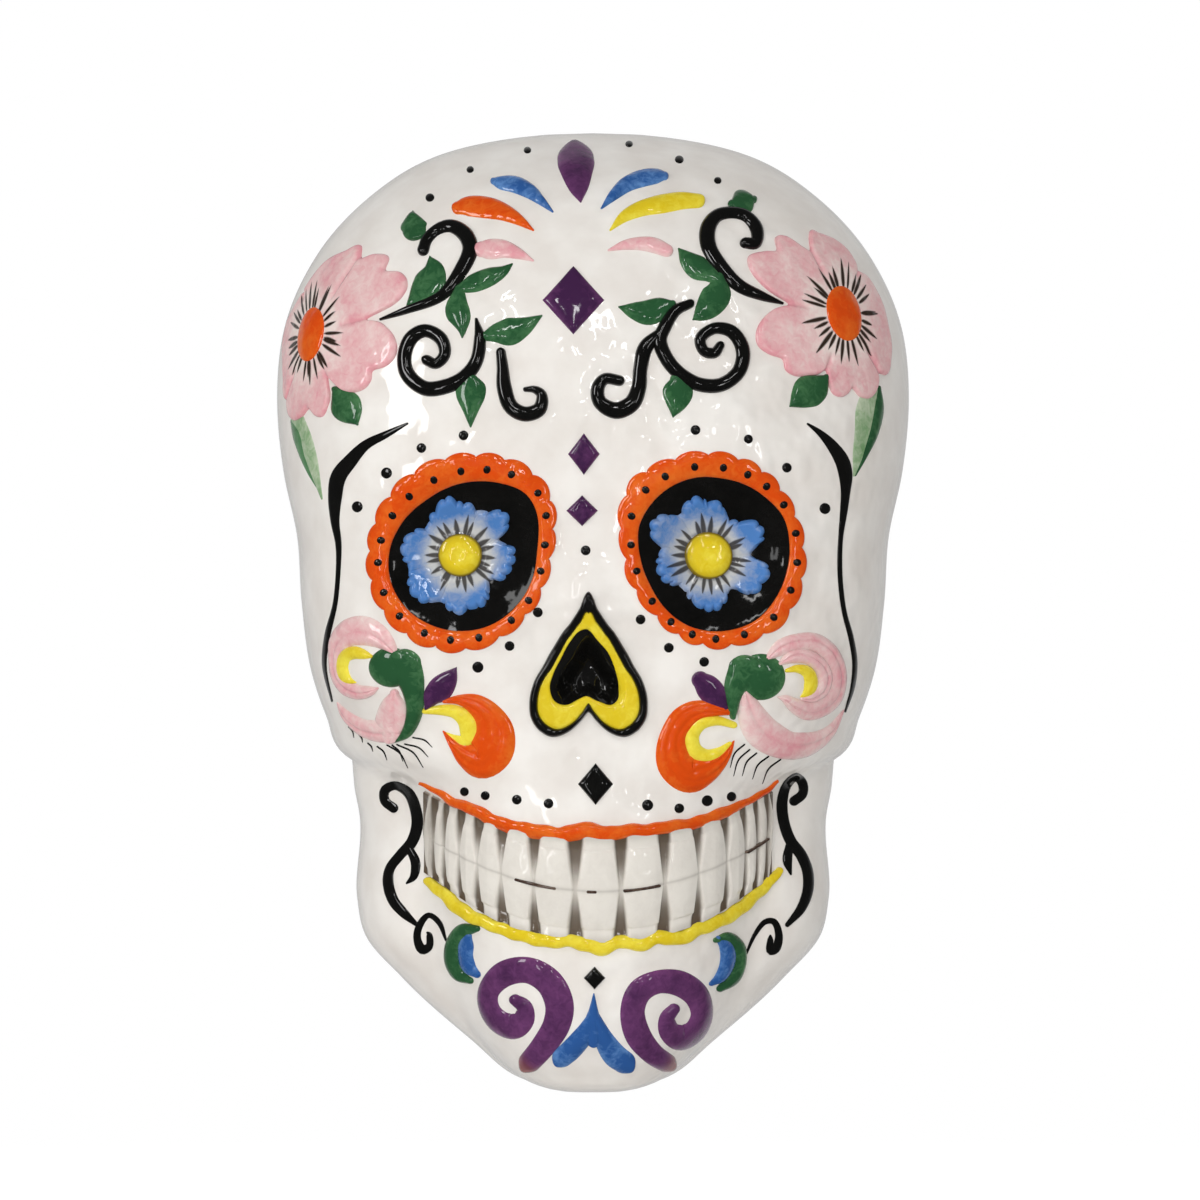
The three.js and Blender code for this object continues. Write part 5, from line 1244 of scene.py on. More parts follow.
ROSE_RIGHT = [
    [[49.5, 126.5, 0.8], [53, 129.3, 2.3], [58, 131, 2.5], [63, 131, 2.6], [67, 128.5, 2.6],
        [69.5, 124, 2.6], [70, 119.5, 2.5], [68.5, 115, 2.8], [65, 112.5, 3], [61, 111.5, 2.8],
        [57.5, 113, 2.2], [54.5, 115, 1.2], [52.5, 115.5, 0.2]],
    [[53, 125, 0.6], [56.5, 127, 2.1], [60.5, 127, 2.1], [64, 125, 2.2], [66, 121.5, 2.2], [65, 117.5, 2.2],
        [62, 115.5, 1.7], [59.5, 115, 0.6]],
    [[43, 118, 0.2], [43.7, 114.5, 2.6], [45.2, 110, 4.2], [47.7, 106, 4.9], [51.6, 103.2, 4.7],
        [56, 101.5, 4.1], [61, 101.7, 3.6], [65.5, 103.6, 2.4], [68.5, 106.2, 1.4], [71, 110, 0.5],
        [72, 111.5, 0.1]],
]
CHEEKS = {
    "cheek_rose_left": (PINK, "pink_glaze", ROSE_LEFT),
    "cheek_rose_right": (PINK, "pink_glaze", ROSE_RIGHT),
    "cheek_comma_left": (GREEN, "green_glaze", [[[-53.4, 124, 5.2], [-51.6, 120.2, 4], [-50.8, 116.4, 3.1],
        [-50.5, 112.6, 2.6], [-51.4, 108.4, 2.1], [-53.2, 105, 1.5], [-56.6, 102.4, 0.2]]]),
    "cheek_comma_right": (GREEN, "green_glaze", [[[43, 122.2, 5.3], [40.6, 118.6, 3.6], [39.7, 115, 2.4],
        [39.6, 112, 1.7], [39.7, 110, 0.9]]]),
    "cheek_leaf_left": (PURPLE, "purple_glaze", [[[-38.5, 124, 0.1], [-40.5, 121, 2.5], [-43, 118, 3.6],
        [-45.5, 115.5, 2.8], [-47, 112.5, 0.8]]]),
    "cheek_leaf_right": (PURPLE, "purple_glaze", [[[30.4, 120.4, 2.5], [31.9, 119, 3.4], [33.7, 117, 3.7],
        [35.6, 114.8, 3], [37.3, 112.9, 1.2]]]),
    "cheek_paisley_left": (ORANGE, "orange_glaze", [[[-42, 114.3, 0.6], [-37.8, 114.7, 1.5],
        [-33.6, 113.6, 2.9], [-29.9, 110.5, 4.1], [-28, 105.8, 5.8], [-29.1, 100.7, 6.7],
        [-31.8, 97.8, 5.6], [-35.5, 99, 3.8], [-38.9, 102, 2], [-42.4, 105.8, 0.2]]]),
    "cheek_paisley_right": (ORANGE, "orange_glaze", [[[38, 111.5, 1.2], [34, 112, 2.1], [29, 111.5, 3.1],
        [25.5, 109, 3.8], [23, 105, 3.8], [22.5, 101, 4.6], [23.5, 96.5, 5.2], [27.5, 93.5, 5.2],
        [31.5, 94.5, 4.2], [35.5, 97, 2.6], [38.5, 100.5, 1.2], [40, 103, 0.2]]]),
}
# Oval pads: x, z, half width, half height
COMMA_HEADS = {
    "cheek_comma_left": (-57.2, 123.9, 6.5, 5.7),
    "cheek_comma_right": (47.6, 121.2, 7, 6.6),
}


def boss(x, z, wide, high, relief):
    """Oval pad with the section of a cheek stroke: lift = relief * (1 - share^plump)^0.8."""
    return rosette(lambda a, s: (x + wide * s * np.cos(a), z + high * s * np.sin(a)),
        lambda a, s: relief * (1 - s**CHEEK_PLUMP) ** 0.8 + 0 * a, 72, dome_shares(14),
        marks={"wash": lambda a, s: EDGE_WASH + CROWN_WASH * (1 - s**CHEEK_PLUMP)})


for name, (finish, slot, spines) in CHEEKS.items():
    relief = CHEEK_RELIEF * (COMMA_SWELL if name in COMMA_HEADS else 1.0)
    grooves = CHEEK_GROOVES.get(name.split("_")[1], ())
    wash = 0.6 if finish is PINK else 1.0
    pads = [stroke(spine, relief, CHEEK_PLUMP, wash=wash, grooves=grooves) for spine in spines]
    if name in COMMA_HEADS:
        pads.append(boss(*COMMA_HEADS[name], relief))
    make_piece(f"{name}_pad", pads, finish, name)
print("pieces so far:", len(pieces))

# %% [markdown]
# ## Yellow crescents
# Each rose and each paisley has a yellow crescent in its curl. It could be a second colour on the same
# pad, but its edge is crisp, so it is a stroke of its own, a little lower than the pads around it.

# %% Yellow crescents of the cheeks
CHEEK_CRESCENTS = {
    "rose_left": [[-63, 127, 0.6], [-65, 127.5, 1.4], [-68, 128, 1.9], [-70.5, 127, 1.9], [-71.5, 124, 1.8],
        [-71, 121.5, 1.8], [-69.5, 120, 1.2], [-67.5, 119.5, 0.2]],
    "rose_right": [[55, 123, 0.6], [58, 123.5, 1.2], [61, 122.5, 1.8], [62, 120, 2], [61.5, 117.5, 1.8],
        [60, 116, 0.8], [59, 115.5, 0.2]],
    "paisley_left": [[-47.5, 111.5, 0.9], [-43.1, 111.8, 1.5], [-38.9, 111.3, 2], [-36, 109, 2.5],
        [-35.1, 105.6, 2.6], [-36.2, 103, 1.9], [-38.9, 103.7, 1.1], [-41.4, 105.2, 0.3]],
    "paisley_right": [[39.9, 107.6, 1], [35.3, 108.8, 1.4], [30.6, 108, 1.9], [28, 104.6, 2.2],
        [28.7, 100.6, 2.3], [32, 98.8, 2], [35.7, 99.8, 1.5], [38.8, 102.3, 0.6]],
}
for name, spine in CHEEK_CRESCENTS.items():
    crescent = stroke(spine, CRESCENT_RELIEF, CHEEK_PLUMP, wash=0.6)
    make_piece(f"crescent_{name}", [crescent], YELLOW)
print("pieces so far:", len(pieces))

# %% [markdown]
# ## Lips and teeth
# The lips are two wavy painted cords, orange above and yellow below. Each row of teeth is one strip of
# clay with a rounded crown per tooth. Teeth made one by one would leave cracks at the gum that the real
# rows don't have. The gaps are wedges, wide at the gum and closed at the bite. Their brown ink is partly
# a thin wash and partly painted shade, and more painted shade darkens the corners, the gum and the bite.

# %% Lip cords
LIP_RELIEF = 1.6
LIP_WAVE = {"lip_upper": 0.15, "lip_lower": 0.2}
LIP_SWELL = {"lip_upper": 1.2, "lip_lower": 1.4}
LIPS = {
    "lip_upper": (ORANGE, "orange_glaze", [[-49.5, 90.5, 0.3], [-44.5, 88.5, 0.6], [-39.5, 85.5, 1],
        [-33.5, 83.5, 1.3], [-28, 80.5, 1.4], [-22, 78.5, 1.7], [-15, 77.5, 1.8], [-9, 76.5, 2],
        [-2.5, 78, 2], [4.5, 77, 1.8], [10, 78, 1.5], [16, 78, 1.5], [21.5, 79, 1.4], [27, 79.5, 1.3],
        [31.5, 80.5, 1.4], [37, 82.5, 1.3], [43, 85, 0.8], [49, 88, 0.6], [53, 91, 0.3]]),
    "lip_lower": (YELLOW, "yellow_glaze", [[-47, 62, 1], [-42.5, 59, 1.3], [-38, 55, 1.5], [-34.5, 53, 1.4],
        [-29.5, 51, 1.3], [-23.5, 49, 1.4], [-18, 47.5, 1.4], [-12.5, 46.5, 1.5], [-6.5, 46.5, 1.3],
        [-1, 45.5, 1.7], [3, 44.5, 1.5], [8, 46.5, 1.4], [13, 45.5, 1.5], [18.5, 47.5, 1.5],
        [24.5, 47, 1.5], [30, 49.5, 1.5], [36, 51.5, 1.4], [41, 54, 1.4], [46, 58, 1.3], [50.5, 62, 1.3],
        [53.5, 65, 0.8]]),
}
LIP_DIAMOND = (0.8, 91, 5, 5.8)  # x, z, half width, half height
for name, (finish, slot, spine) in LIPS.items():
    swollen = np.array(spine) * [1, 1, LIP_SWELL[name]]
    cord = stroke(swollen, LIP_RELIEF, plump=3.0, wash=0.8, wave=LIP_WAVE[name])
    make_piece(f"{name}_cord", [cord], finish, name)
make_piece("lip_lozenge", [diamond(*LIP_DIAMOND)], BLACK, "lip_diamond")
print("pieces so far:", len(pieces))

# %% [markdown]
# ## Rows of teeth
# A row could be cut from a strip with wedges, but that leaves sharp edges, which glaze never has. Here
# the strip is one surface over its width and the share from gum to bite, and the hollows are soft steps
# in its lift. The same wedges with a crisper edge give the brown ink, partly a wash and partly painted
# shade.

# %% Rows of teeth
# Hollows between the crowns: x, half width at the gum, share of the crown's height where they close
UPPER_GAPS = [(-48, 1.6, 1.6), (-44.4, 1, 1.6), (-41, 0.7, 1.5), (-36.6, 1.1, 0.9), (-31.5, 1.4, 0.9),
    (-24.9, 1.5, 0.9), (-16, 1.6, 0.95), (-4.8, 2.1, 1.1), (7.7, 1.7, 1.1), (19.6, 1.6, 1.1),
    (28.8, 1.3, 0.95), (36.6, 1, 0.9), (42, 0.7, 1), (45.8, 0.5, 1.5), (49, 0.5, 1.5), (51, 0.8, 1.6)]
LOWER_GAPS = [(-48, 1.2, 1.6), (-44.4, 0.8, 1.5), (-41, 0.8, 1.2), (-36.6, 0.8, 1), (-31.5, 1, 1),
    (-24.9, 1.6, 0.95), (-16, 1.4, 0.95), (-4.8, 2, 1.1), (7.7, 1.8, 1.1), (19.6, 1.7, 1.1),
    (28.8, 1.3, 0.95), (36.6, 0.8, 1), (42, 0.6, 1.2), (45.8, 0.5, 1.4), (49, 0.5, 1.5), (51, 0.8, 1.6)]
TOOTH_RELIEF, GUM_RELIEF = 3.2, 0.9
TOOTH_COLUMNS, TOOTH_SHARES = 640, 30
SEAM, SEAM_FADE = 0.16, 0.75  # half width of a gap that has closed, and how much of it is filled
CROWN_DIP, CROWN_SPREAD = 0.22, 2.4  # a crown is lower beside a gap, by a share, over so many mm
GUM_LAP, GUM_DROP = 0.3, 1.5  # from the lip line to the gum, and how much more at the corners
GUM_DROP_FROM, GUM_DROP_FULL = 26.0, 46.0  # from the middle of the lip
CORNER_SHADE = 9.0  # reach of the painted brown shade in the corners of the mouth
TOOTH_ROOT = 0.6  # depth of the strip's underside below the skin
TOOTH_PROFILE = [[0, 0.4], [0.15, 0.7], [0.35, 0.92], [0.6, 1], [0.85, 1], [1, 0.98]]
tooth_profile = through_keys(TOOTH_PROFILE)


def tooth_row(lip, gaps, down):
    """Strip over x and the share from gum to bite, with wedge-shaped hollows between the crowns."""
    x = np.linspace(gaps[0][0], gaps[-1][0], TOOTH_COLUMNS)[:, None]
    share = np.linspace(0, 1, TOOTH_SHARES)[None, :]
    at, wide, closed = np.asarray(gaps, float).T
    off = np.abs(x[..., None] - at)
    wedge = wide * np.clip(1 - share[..., None] / closed, 0, 1) + SEAM
    open_part = 1 - SEAM_FADE * smooth(share[..., None], 0.4 * closed, closed)
    hollow = (open_part * (1 - smooth(off, 0.55 * wedge, 1.25 * wedge + 0.4))).max(axis=-1)
    gap_wash_and_shade = (open_part * (1 - smooth(off, 0.8 * wedge, 1.15 * wedge + 0.2))).max(axis=-1)
    crown = 1 - CROWN_DIP * np.exp(-((off.min(axis=-1) / CROWN_SPREAD) ** 2))
    lift = GUM_RELIEF + (TOOTH_RELIEF * tooth_profile(share) * crown - GUM_RELIEF) * (1 - hollow)
    # Brown ink: a wash and painted shade in the gaps, and painted shade in the corners of the mouth and
    # along the gum and the bite
    corner = smooth(np.abs(x - BITE[0]), MOUTH_HALF_WIDTH - CORNER_SHADE, MOUTH_HALF_WIDTH)
    ink = np.maximum(gap_wash_and_shade * (1 - 0.3 * share), 0.35 * corner + 0 * share)
    ink = np.maximum(ink, 0.25 * (1 - smooth(share, 0, 0.14)) + 0.28 * smooth(share, 0.95, 1) + 0 * x)
    drop = smooth(np.abs(x - lip[0]), GUM_DROP_FROM, GUM_DROP_FULL)
    gum = along_line(lip, x) - down * (GUM_LAP + GUM_DROP * drop)
    z = gum + (along_line(BITE, x) - gum) * share
    top = on_skin(x + 0 * share, z, lift)
    under = on_skin(x + 0 * share, z, -TOOTH_ROOT)[:, ::-1]
    grid = np.concatenate([top, under], axis=1)
    return grid, False, True, {"wash": 0.8, "ink": np.concatenate([ink, 0 * ink], axis=1)}


make_piece("tooth_row_upper", [tooth_row(UPPER_LIP, UPPER_GAPS, 1)], WHITE, "teeth_upper")
make_piece("tooth_row_lower", [tooth_row(LOWER_LIP, LOWER_GAPS, -1)], WHITE, "teeth_lower")
print("pieces so far:", len(pieces))

# %% [markdown]
# ## Chin ornament
# A blue fleur of three petals stands between two purple spirals, below a small black diamond. At each
# side of the chin a green crescent holds a blue one. They are strokes again. The spirals were painted
# thin, and their tails fade to a rusty wash, so they carry ink at the start of their spines.

# %% Chin pieces
CHIN_RELIEF = 1.3
CHIN_DIAMOND = (0.5, 36, 3.1, 3.2)  # x, z, half width, half height
SPIRAL_TAIL, SPIRAL_WASH = 0.07, 0.65  # share of the spiral that is rusty, and its thin paint
CHIN = {
    "chin_fleur": (BLUE, "blue_glaze", [
        [[0.3, 31.5, 0.2], [0.2, 27, 1.3], [0, 22, 2.8], [0.2, 18.5, 2.4]],
        [[-0.4, 25, 1.2], [-2.4, 20, 2.7], [-6, 15.4, 3.1], [-8.6, 13, 3]],
        [[0.9, 25, 1.2], [3.2, 18.4, 2.8], [6.2, 13.6, 3.5], [8.8, 11.5, 3.4]]]),
    "chin_spiral_left": (PURPLE, "purple_glaze", [[[-18, 11.2, 3.2], [-14.2, 16, 3.5], [-10.3, 22.5, 3.9],
        [-9.5, 28.5, 4.1], [-12.5, 34.8, 4], [-18.5, 38, 3.8], [-25.3, 36.6, 3.7], [-29.7, 31.5, 3.1],
        [-29.6, 26.5, 3.1], [-26.6, 22.6, 3.6], [-22.6, 21.6, 3.8], [-19.6, 24, 3.1], [-19.5, 27.4, 2.4],
        [-22, 29.3, 1.7]]]),
    "chin_spiral_right": (PURPLE, "purple_glaze", [[[21, 10.6, 2.9], [17, 13.8, 3.2], [12.8, 19.5, 3.7],
        [11.3, 26.5, 3.5], [13.3, 32, 3.6], [18.4, 34.6, 3.4], [24.6, 34, 3.7], [29.6, 30.2, 3.6],
        [31.2, 24.5, 3.3], [29.2, 19.6, 3.7], [25.4, 18, 4], [21.8, 20.4, 3.1], [21.2, 24.2, 2.3],
        [23, 26.6, 1.7]]]),
    "chin_crescent_left": (GREEN, "green_glaze", [[[-33, 49.5, 1], [-37, 48.5, 2.2], [-40, 44.5, 2.2],
        [-40.5, 39.5, 2.1], [-38.4, 35.6, 1.9], [-35, 34.2, 1]]]),
    "chin_crescent_right": (GREEN, "green_glaze", [[[35, 46, 0.8], [38.5, 46.5, 1.7], [41.5, 43.5, 2.2],
        [42, 39, 2.1], [40.2, 34.4, 2], [36.4, 31.8, 1.1]]]),
}
for name, (finish, slot, spines) in CHIN.items():
    tail, wash = (SPIRAL_TAIL, SPIRAL_WASH) if "spiral" in name else (None, 1.0)
    pads = [stroke(spine, CHIN_RELIEF, plump=2.4, wash=wash, ink_ends=tail) for spine in spines]
    make_piece(f"{name}_pad", pads, finish, name)
CHIN_BLUES = {
    "left": [[-35.4, 47.2, 1], [-36, 45, 2.1], [-36.3, 41.3, 2.2], [-35.2, 38, 2.1], [-33, 36.2, 1.1]],
    "right": [[35.8, 46.4, 0.9], [37.7, 44.6, 1.9], [38.7, 41.4, 2.3], [38, 37.8, 2.1], [36.2, 35, 1.6],
        [33.8, 33.4, 0.7]],
}
for side, spine in CHIN_BLUES.items():
    crescent = stroke(spine, CHIN_RELIEF, plump=2.6, wash=0.9)
    make_piece(f"chin_blue_{side}", [crescent], BLUE)
make_piece("chin_lozenge", [diamond(*CHIN_DIAMOND)], BLACK, "chin_diamond")
print("pieces so far:", len(pieces))

# %% [markdown]
# ## Brushwork
# The last layer is paint alone: brow lines, jaw scrolls and curls, faded leaves under the temples, dots
# and lashes. Real brush lines have a body of a tenth of a millimetre or so. They are the same strokes,
# kept as low as still shows, and the dots are small raised domes of thick paint.

# %% Lines
BRUSH_RELIEF, BRUSH_BASE, BRUSH_ROOT = 0.4, 0.15, 0.3  # body, lift off the skin, depth under it
FADED_RELIEF = 0.3
BRUSH_LINES = {
    "brow_line_left": [[[-52.5, 193, 0.3], [-58.5, 190, 1], [-64.5, 187, 1.4], [-69, 182.5, 2],
        [-72.5, 178, 2.3], [-73.5, 172, 2], [-73.5, 165.5, 1.3], [-72.5, 159, 0.9], [-72.5, 152.5, 0.7],
        [-73.5, 142, 0.7], [-76, 132.5, 0.9], [-77, 124, 0.7], [-75, 114, 0.3]]],
    "brow_line_right": [[[61, 193, 0.3], [64.5, 190.5, 0.9], [68, 187, 1.6], [71, 182.5, 2.1],
        [72, 178.5, 2], [72, 174, 1.4], [71.5, 168.5, 1.1], [70.6, 161, 0.7], [70.3, 154.5, 0.7],
        [70.6, 147, 0.7], [71.7, 139.5, 0.7], [73.8, 132, 0.8], [75, 125, 0.8], [74.5, 118, 0.7],
        [72.5, 111, 0.3]]],
    "jaw_scroll_left": [[[-57.5, 83, 1.4], [-60, 85, 1.4], [-60, 88, 1.4], [-57, 89.5, 1.3],
        [-53, 87.5, 1.6], [-51, 83, 1.7], [-50.5, 78.5, 1.7], [-52, 73.5, 1.6], [-55.5, 69.5, 1.4],
        [-58.5, 65.5, 1.4], [-59, 61.5, 1.6], [-57.5, 56.5, 1.6], [-54.5, 53, 1.4], [-51, 50, 0.7]],
        [[-52.5, 71, 1.1], [-51, 67.5, 1.4], [-51.5, 63.5, 1.1], [-53.5, 61.5, 0.3]]],
    "jaw_scroll_right": [[[58, 85, 1.4], [60.5, 87, 1.4], [60.5, 90, 1.4], [58.5, 92, 1.3], [56, 90, 1.4],
        [54.5, 85, 1.6], [55, 79, 1.6], [57, 73.5, 1.6], [60, 69.5, 1.6], [62, 64.5, 1.6], [62, 59, 1.6],
        [60, 54, 1.4], [56, 49.5, 0.7]],
        [[56.5, 72, 1.1], [56, 68, 1.4], [57, 64, 0.3]]],
    "jaw_curl_left": [[[-42, 45.5, 0.3], [-44, 50.5, 0.8], [-47, 52.5, 0.8], [-49.5, 50, 1],
        [-50.5, 46, 1.1], [-49, 42.5, 1.4], [-47, 43.5, 1.1], [-47, 47, 0.8], [-47.5, 47.5, 0.3]]],
    "jaw_curl_right": [[[44, 41.5, 0.3], [46.5, 47, 0.6], [49.5, 50.5, 0.8], [52, 50.5, 0.9],
        [53.5, 46.5, 1.1], [52.5, 42.5, 1.3], [51, 42, 1.1], [51, 45.5, 0.8], [51, 46.5, 0.3]]],
}
for name, spines in BRUSH_LINES.items():
    lines = [stroke(spine, BRUSH_RELIEF, base=BRUSH_BASE, root=BRUSH_ROOT) for spine in spines]
    make_piece(name, lines, BLACK)
LONG_LEAVES = {
    "left": [[-85, 194.5, 2.3], [-83, 189, 2.6], [-80.5, 182.5, 1.9], [-79, 177.5, 1.1], [-77.5, 172, 0.3]],
    "right": [[79.5, 202.5, 2.6], [79, 197, 3.9], [78, 191, 3.3], [76, 184.5, 1.9], [74.5, 178.5, 0.3]],
}
for side, spine in LONG_LEAVES.items():
    leaf = stroke(spine, FADED_RELIEF, plump=3.0, root=BRUSH_ROOT, wash=0.6)
    make_piece(f"faded_leaf_{side}", [leaf], PALE_GREEN)
# Darker edge of each long leaf: wash and spine
LEAF_SHADES = {
    "left": (0.2, [[-86.6, 194.5, 0.7], [-85, 190.5, 1.6], [-83.4, 185, 1.2], [-81.2, 179.5, 0.7],
        [-79.2, 175.5, 0.2]]),
    "right": (1.0, [[82.3, 204, 0.6], [81.8, 198, 1.9], [80.2, 191, 1.8], [77.6, 184.5, 1.1],
        [75, 178.5, 0.2]]),
}
for side, (wash, spine) in LEAF_SHADES.items():
    shade = stroke(spine, BRUSH_RELIEF, plump=2.4, root=BRUSH_ROOT, wash=wash)
    make_piece(f"leaf_shade_{side}", [shade], GREEN)
print("pieces so far:", len(pieces))

# %% [markdown]
# ## Dots, lashes and bite lines
# A dot is one touch of a loaded brush, so it dries as a low dome. A lash is one quick stroke that bends
# a little and runs out, and short brown dashes mark the bite. Each kind is one piece of many small
# grids, as they share a finish.

# %% Dots, lashes and bite lines
# Dots: x, z, radius
DOTS = [
    (-19, 273.5, 1.1), (-35.5, 267.5, 1.1), (-47, 259, 1.3), (10.5, 275.5, 1.1), (25, 270.5, 1.3),
    (36, 264, 1.1), (-2, 157, 1.4), (-36.5, 189.5, 1.4), (-48.5, 186, 1.4), (-58.5, 179, 1.6),
    (-67, 169.5, 1.6), (-15.5, 139.5, 1.4), (-23.5, 130, 1.4), (-32.5, 124, 1.6), (29, 191, 1.4),
    (44, 188.5, 1.3), (55, 180.5, 1.4), (66, 169, 1.6), (13.5, 137.5, 1.4), (21.5, 129.5, 1.4),
    (31.5, 125.5, 1.4), (-36.5, 88.5, 1.3), (-30.5, 87.5, 1.3), (-21.5, 86.5, 1.4), (-12.5, 85.5, 1.4),
    (15.5, 85, 1.6), (24.5, 84, 1.4), (32.5, 86, 1.6), (39.5, 87, 1.4),
]
# Lashes: x and z of the thick end, x and z of the tip
LASHES = [
    (-70.1, 106.6, -68.6, 103.5), (-67, 104.4, -66, 102.2), (-64.4, 102, -63, 99.6),
    (-61.6, 101.1, -58.9, 97.2), (-58.7, 101.6, -52.8, 95), (-57.2, 101.6, -54.2, 97),
    (-55.8, 101.8, -48.3, 95.3), (-53.5, 102, -46.8, 98.4), (-51.1, 103.9, -45.6, 101.2),
    (43, 102, 39, 95.5), (44.5, 100.5, 40, 93), (46.5, 99.5, 42.5, 93), (50, 98.5, 45.5, 92),
    (53.5, 97.5, 48.5, 90.5),
]
DOT_RISE, DOT_ROOT = 0.5, 0.4
RING_DOT_RADIUS, RING_DOT_BASE, RING_DOT_RISE = 1.05, RING_RELIEF - 0.05, 0.4
LASH_RELIEF, LASH_BASE = 0.3, 0.1
LASH_WIDTH, LASH_TIP, LASH_BEND = 0.22, 0.08, 0.1
BITE_LINES = [(-20.4, -10.2), (-1.3, 0.7), (8.6, 17.7), (42, 48.5)]  # from and to, along x
BITE_DROP, BITE_WIDTH = 0.15, 0.4
BITE_BASE, BITE_UNDERSIDE = TOOTH_RELIEF - 0.08, 2.0  # the dashes lie on the edges of the crowns


def dot(x, z, radius, base=0.0, rise=DOT_RISE):
    """Dome of thick paint: lift = base + rise * (1 - share^2)^(1/2)."""
    return rosette(lambda a, s: round_point((x, z), a, radius * s),
        lambda a, s: base + rise * np.sqrt(1 - s**2) + 0 * a, 20, dome_shares(7), root=DOT_ROOT,
        marks={"wash": lambda a, s: 0.6})


def lash(x0, z0, x1, z1):
    """Thin stroke that bends a little and runs out to nothing."""
    bend = LASH_BEND * np.hypot(x1 - x0, z1 - z0)
    middle = [(x0 + x1) / 2 + bend * np.sign(x1 - x0), (z0 + z1) / 2 + bend, LASH_WIDTH]
    spine = [[x0, z0, LASH_WIDTH], middle, [x1, z1, LASH_TIP]]
    return stroke(spine, LASH_RELIEF, base=LASH_BASE, root=BRUSH_ROOT)


def bite_line(start, end):
    """Thin dash along the bite line, over the edges of the crowns."""
    spine = [[x, along_line(BITE, x) - BITE_DROP, BITE_WIDTH] for x in np.linspace(start, end, 5)]
    return stroke(spine, BRUSH_RELIEF, base=BITE_BASE, root=-BITE_UNDERSIDE)


on_rings = [dot(x, z, RING_DOT_RADIUS, RING_DOT_BASE, RING_DOT_RISE) for x, z in ring_dots]
make_piece("painted_dots", [dot(*spot) for spot in DOTS], BLACK)
make_piece("ring_dots", on_rings, BLACK)
make_piece("lash_strokes", [lash(*line) for line in LASHES], BLACK)
make_piece("bite_lines", [bite_line(*dash) for dash in BITE_LINES], BROWN)
print("pieces in all:", len(pieces))

# %% [markdown]
# ## Stage, light and camera
# The photograph is a cut-out on white, lit softly from the upper left by something like a window. The
# world is white to the camera and a plain grey level for the rest, and the glaze mirrors a darker room
# in front and a pale backdrop behind. The floor lies below the mask, keeps its shadow, and fades out
# before its edge. Broad lamps light the paint, and small ones are there to be mirrored in the glaze.

# %% Floor
FLOOR_Z, FLOOR_RADIUS = -0.33, 0.9
FADE_FROM, FADE_ROOM = 0.3, 0.05  # it fades from this radius, and is gone so far before its edge
FLOOR_GLOW = 0.5
FLOOR_SIDES = 96


def floor_finish():
    """Pale floor that takes shadow: part glow, part matt, fading to nothing toward its edge."""
    material, tree, output = new_material("pale_studio_floor")
    place = add_node(tree, "ShaderNodeTexCoord").outputs["Object"]
    flat = add_node(tree, "ShaderNodeVectorMath", {"operation": "MULTIPLY"}, {1: (1.0, 1.0, 0.0)},
        {0: place})
    far = add_node(tree, "ShaderNodeVectorMath", {"operation": "LENGTH"}, links={0: flat.outputs[0]})
    fade = add_node(tree, "ShaderNodeMapRange", {"interpolation_type": "SMOOTHSTEP"},
        {"From Min": FADE_FROM, "From Max": FLOOR_RADIUS - FADE_ROOM},
        {"Value": far.outputs["Value"]}).outputs[0]
    grain = add_node(tree, "ShaderNodeTexNoise", values={"Scale": per_metre(40)}, links={"Vector": place})
    tone = add_node(tree, "ShaderNodeMix", {"data_type": "RGBA"},
        {COLOUR_A: srgb("#F2F1F0"), COLOUR_B: srgb("#F8F8F7")}, {"Factor": grain.outputs["Fac"]})
    matt = add_node(tree, "ShaderNodeBsdfDiffuse", links={"Color": tone.outputs[COLOUR_OUT]})
    path = add_node(tree, "ShaderNodeLightPath").outputs["Is Camera Ray"]
    glow = add_node(tree, "ShaderNodeMath", {"operation": "MULTIPLY"}, {1: FLOOR_GLOW},
        {0: path}).outputs[0]
    lit = add_node(tree, "ShaderNodeEmission", links={"Strength": glow})
    pale = add_node(tree, "ShaderNodeAddShader", links={0: matt.outputs[0], 1: lit.outputs[0]})
    clear = add_node(tree, "ShaderNodeBsdfTransparent")
    mix = add_node(tree, "ShaderNodeMixShader", links={0: fade, 1: pale.outputs[0], 2: clear.outputs[0]})
    tree.links.new(mix.outputs[0], output.inputs["Surface"])
    return material


turn = np.linspace(0, 2 * np.pi, FLOOR_SIDES, endpoint=False)
disc = np.stack([FLOOR_RADIUS * np.cos(turn), FLOOR_RADIUS * np.sin(turn), 0 * turn + FLOOR_Z], axis=1)
floor_mesh = bpy.data.meshes.new("studio_floor")
floor_mesh.from_pydata(disc, [], [list(range(len(turn)))])
floor_mesh.materials.append(floor_finish())
floor = bpy.data.objects.new("studio_floor", floor_mesh)
floor.visible_glossy = False
bpy.context.scene.collection.objects.link(floor)
print("floor radius in metres:", FLOOR_RADIUS)

# %% [markdown]
# ## World
# A picture of a room could light the scene, but a few levels are enough: white for the camera, a soft
# grey for the paint, and for the glaze a dark room in front and a pale backdrop behind, which lightens
# the edges that turn away.

# %% World
scene = bpy.context.scene
world = bpy.data.worlds.new("white_studio")
scene.world = world
world.use_nodes = True
tree = world.node_tree
tree.nodes.clear()
ROOM_LEVEL = 0.44  # soft light from all round
ROOM_IN_GLAZE = 0.06  # the darker room in front, as the glaze mirrors it
BACKDROP_IN_GLAZE = 0.5  # the pale backdrop behind, as the glaze mirrors it at the outline
BACKDROP_FROM, BACKDROP_FULL = 0.4, 0.8  # how straight back a mirrored ray points, from 0 to 1
path = add_node(tree, "ShaderNodeLightPath")
seen = add_node(tree, "ShaderNodeMath", {"operation": "MAXIMUM"},
    links={0: path.outputs["Is Camera Ray"], 1: path.outputs["Is Transmission Ray"]}).outputs[0]
way = add_node(tree, "ShaderNodeTexCoord").outputs["Generated"]
ahead = add_node(tree, "ShaderNodeSeparateXYZ", links={0: way}).outputs["Y"]
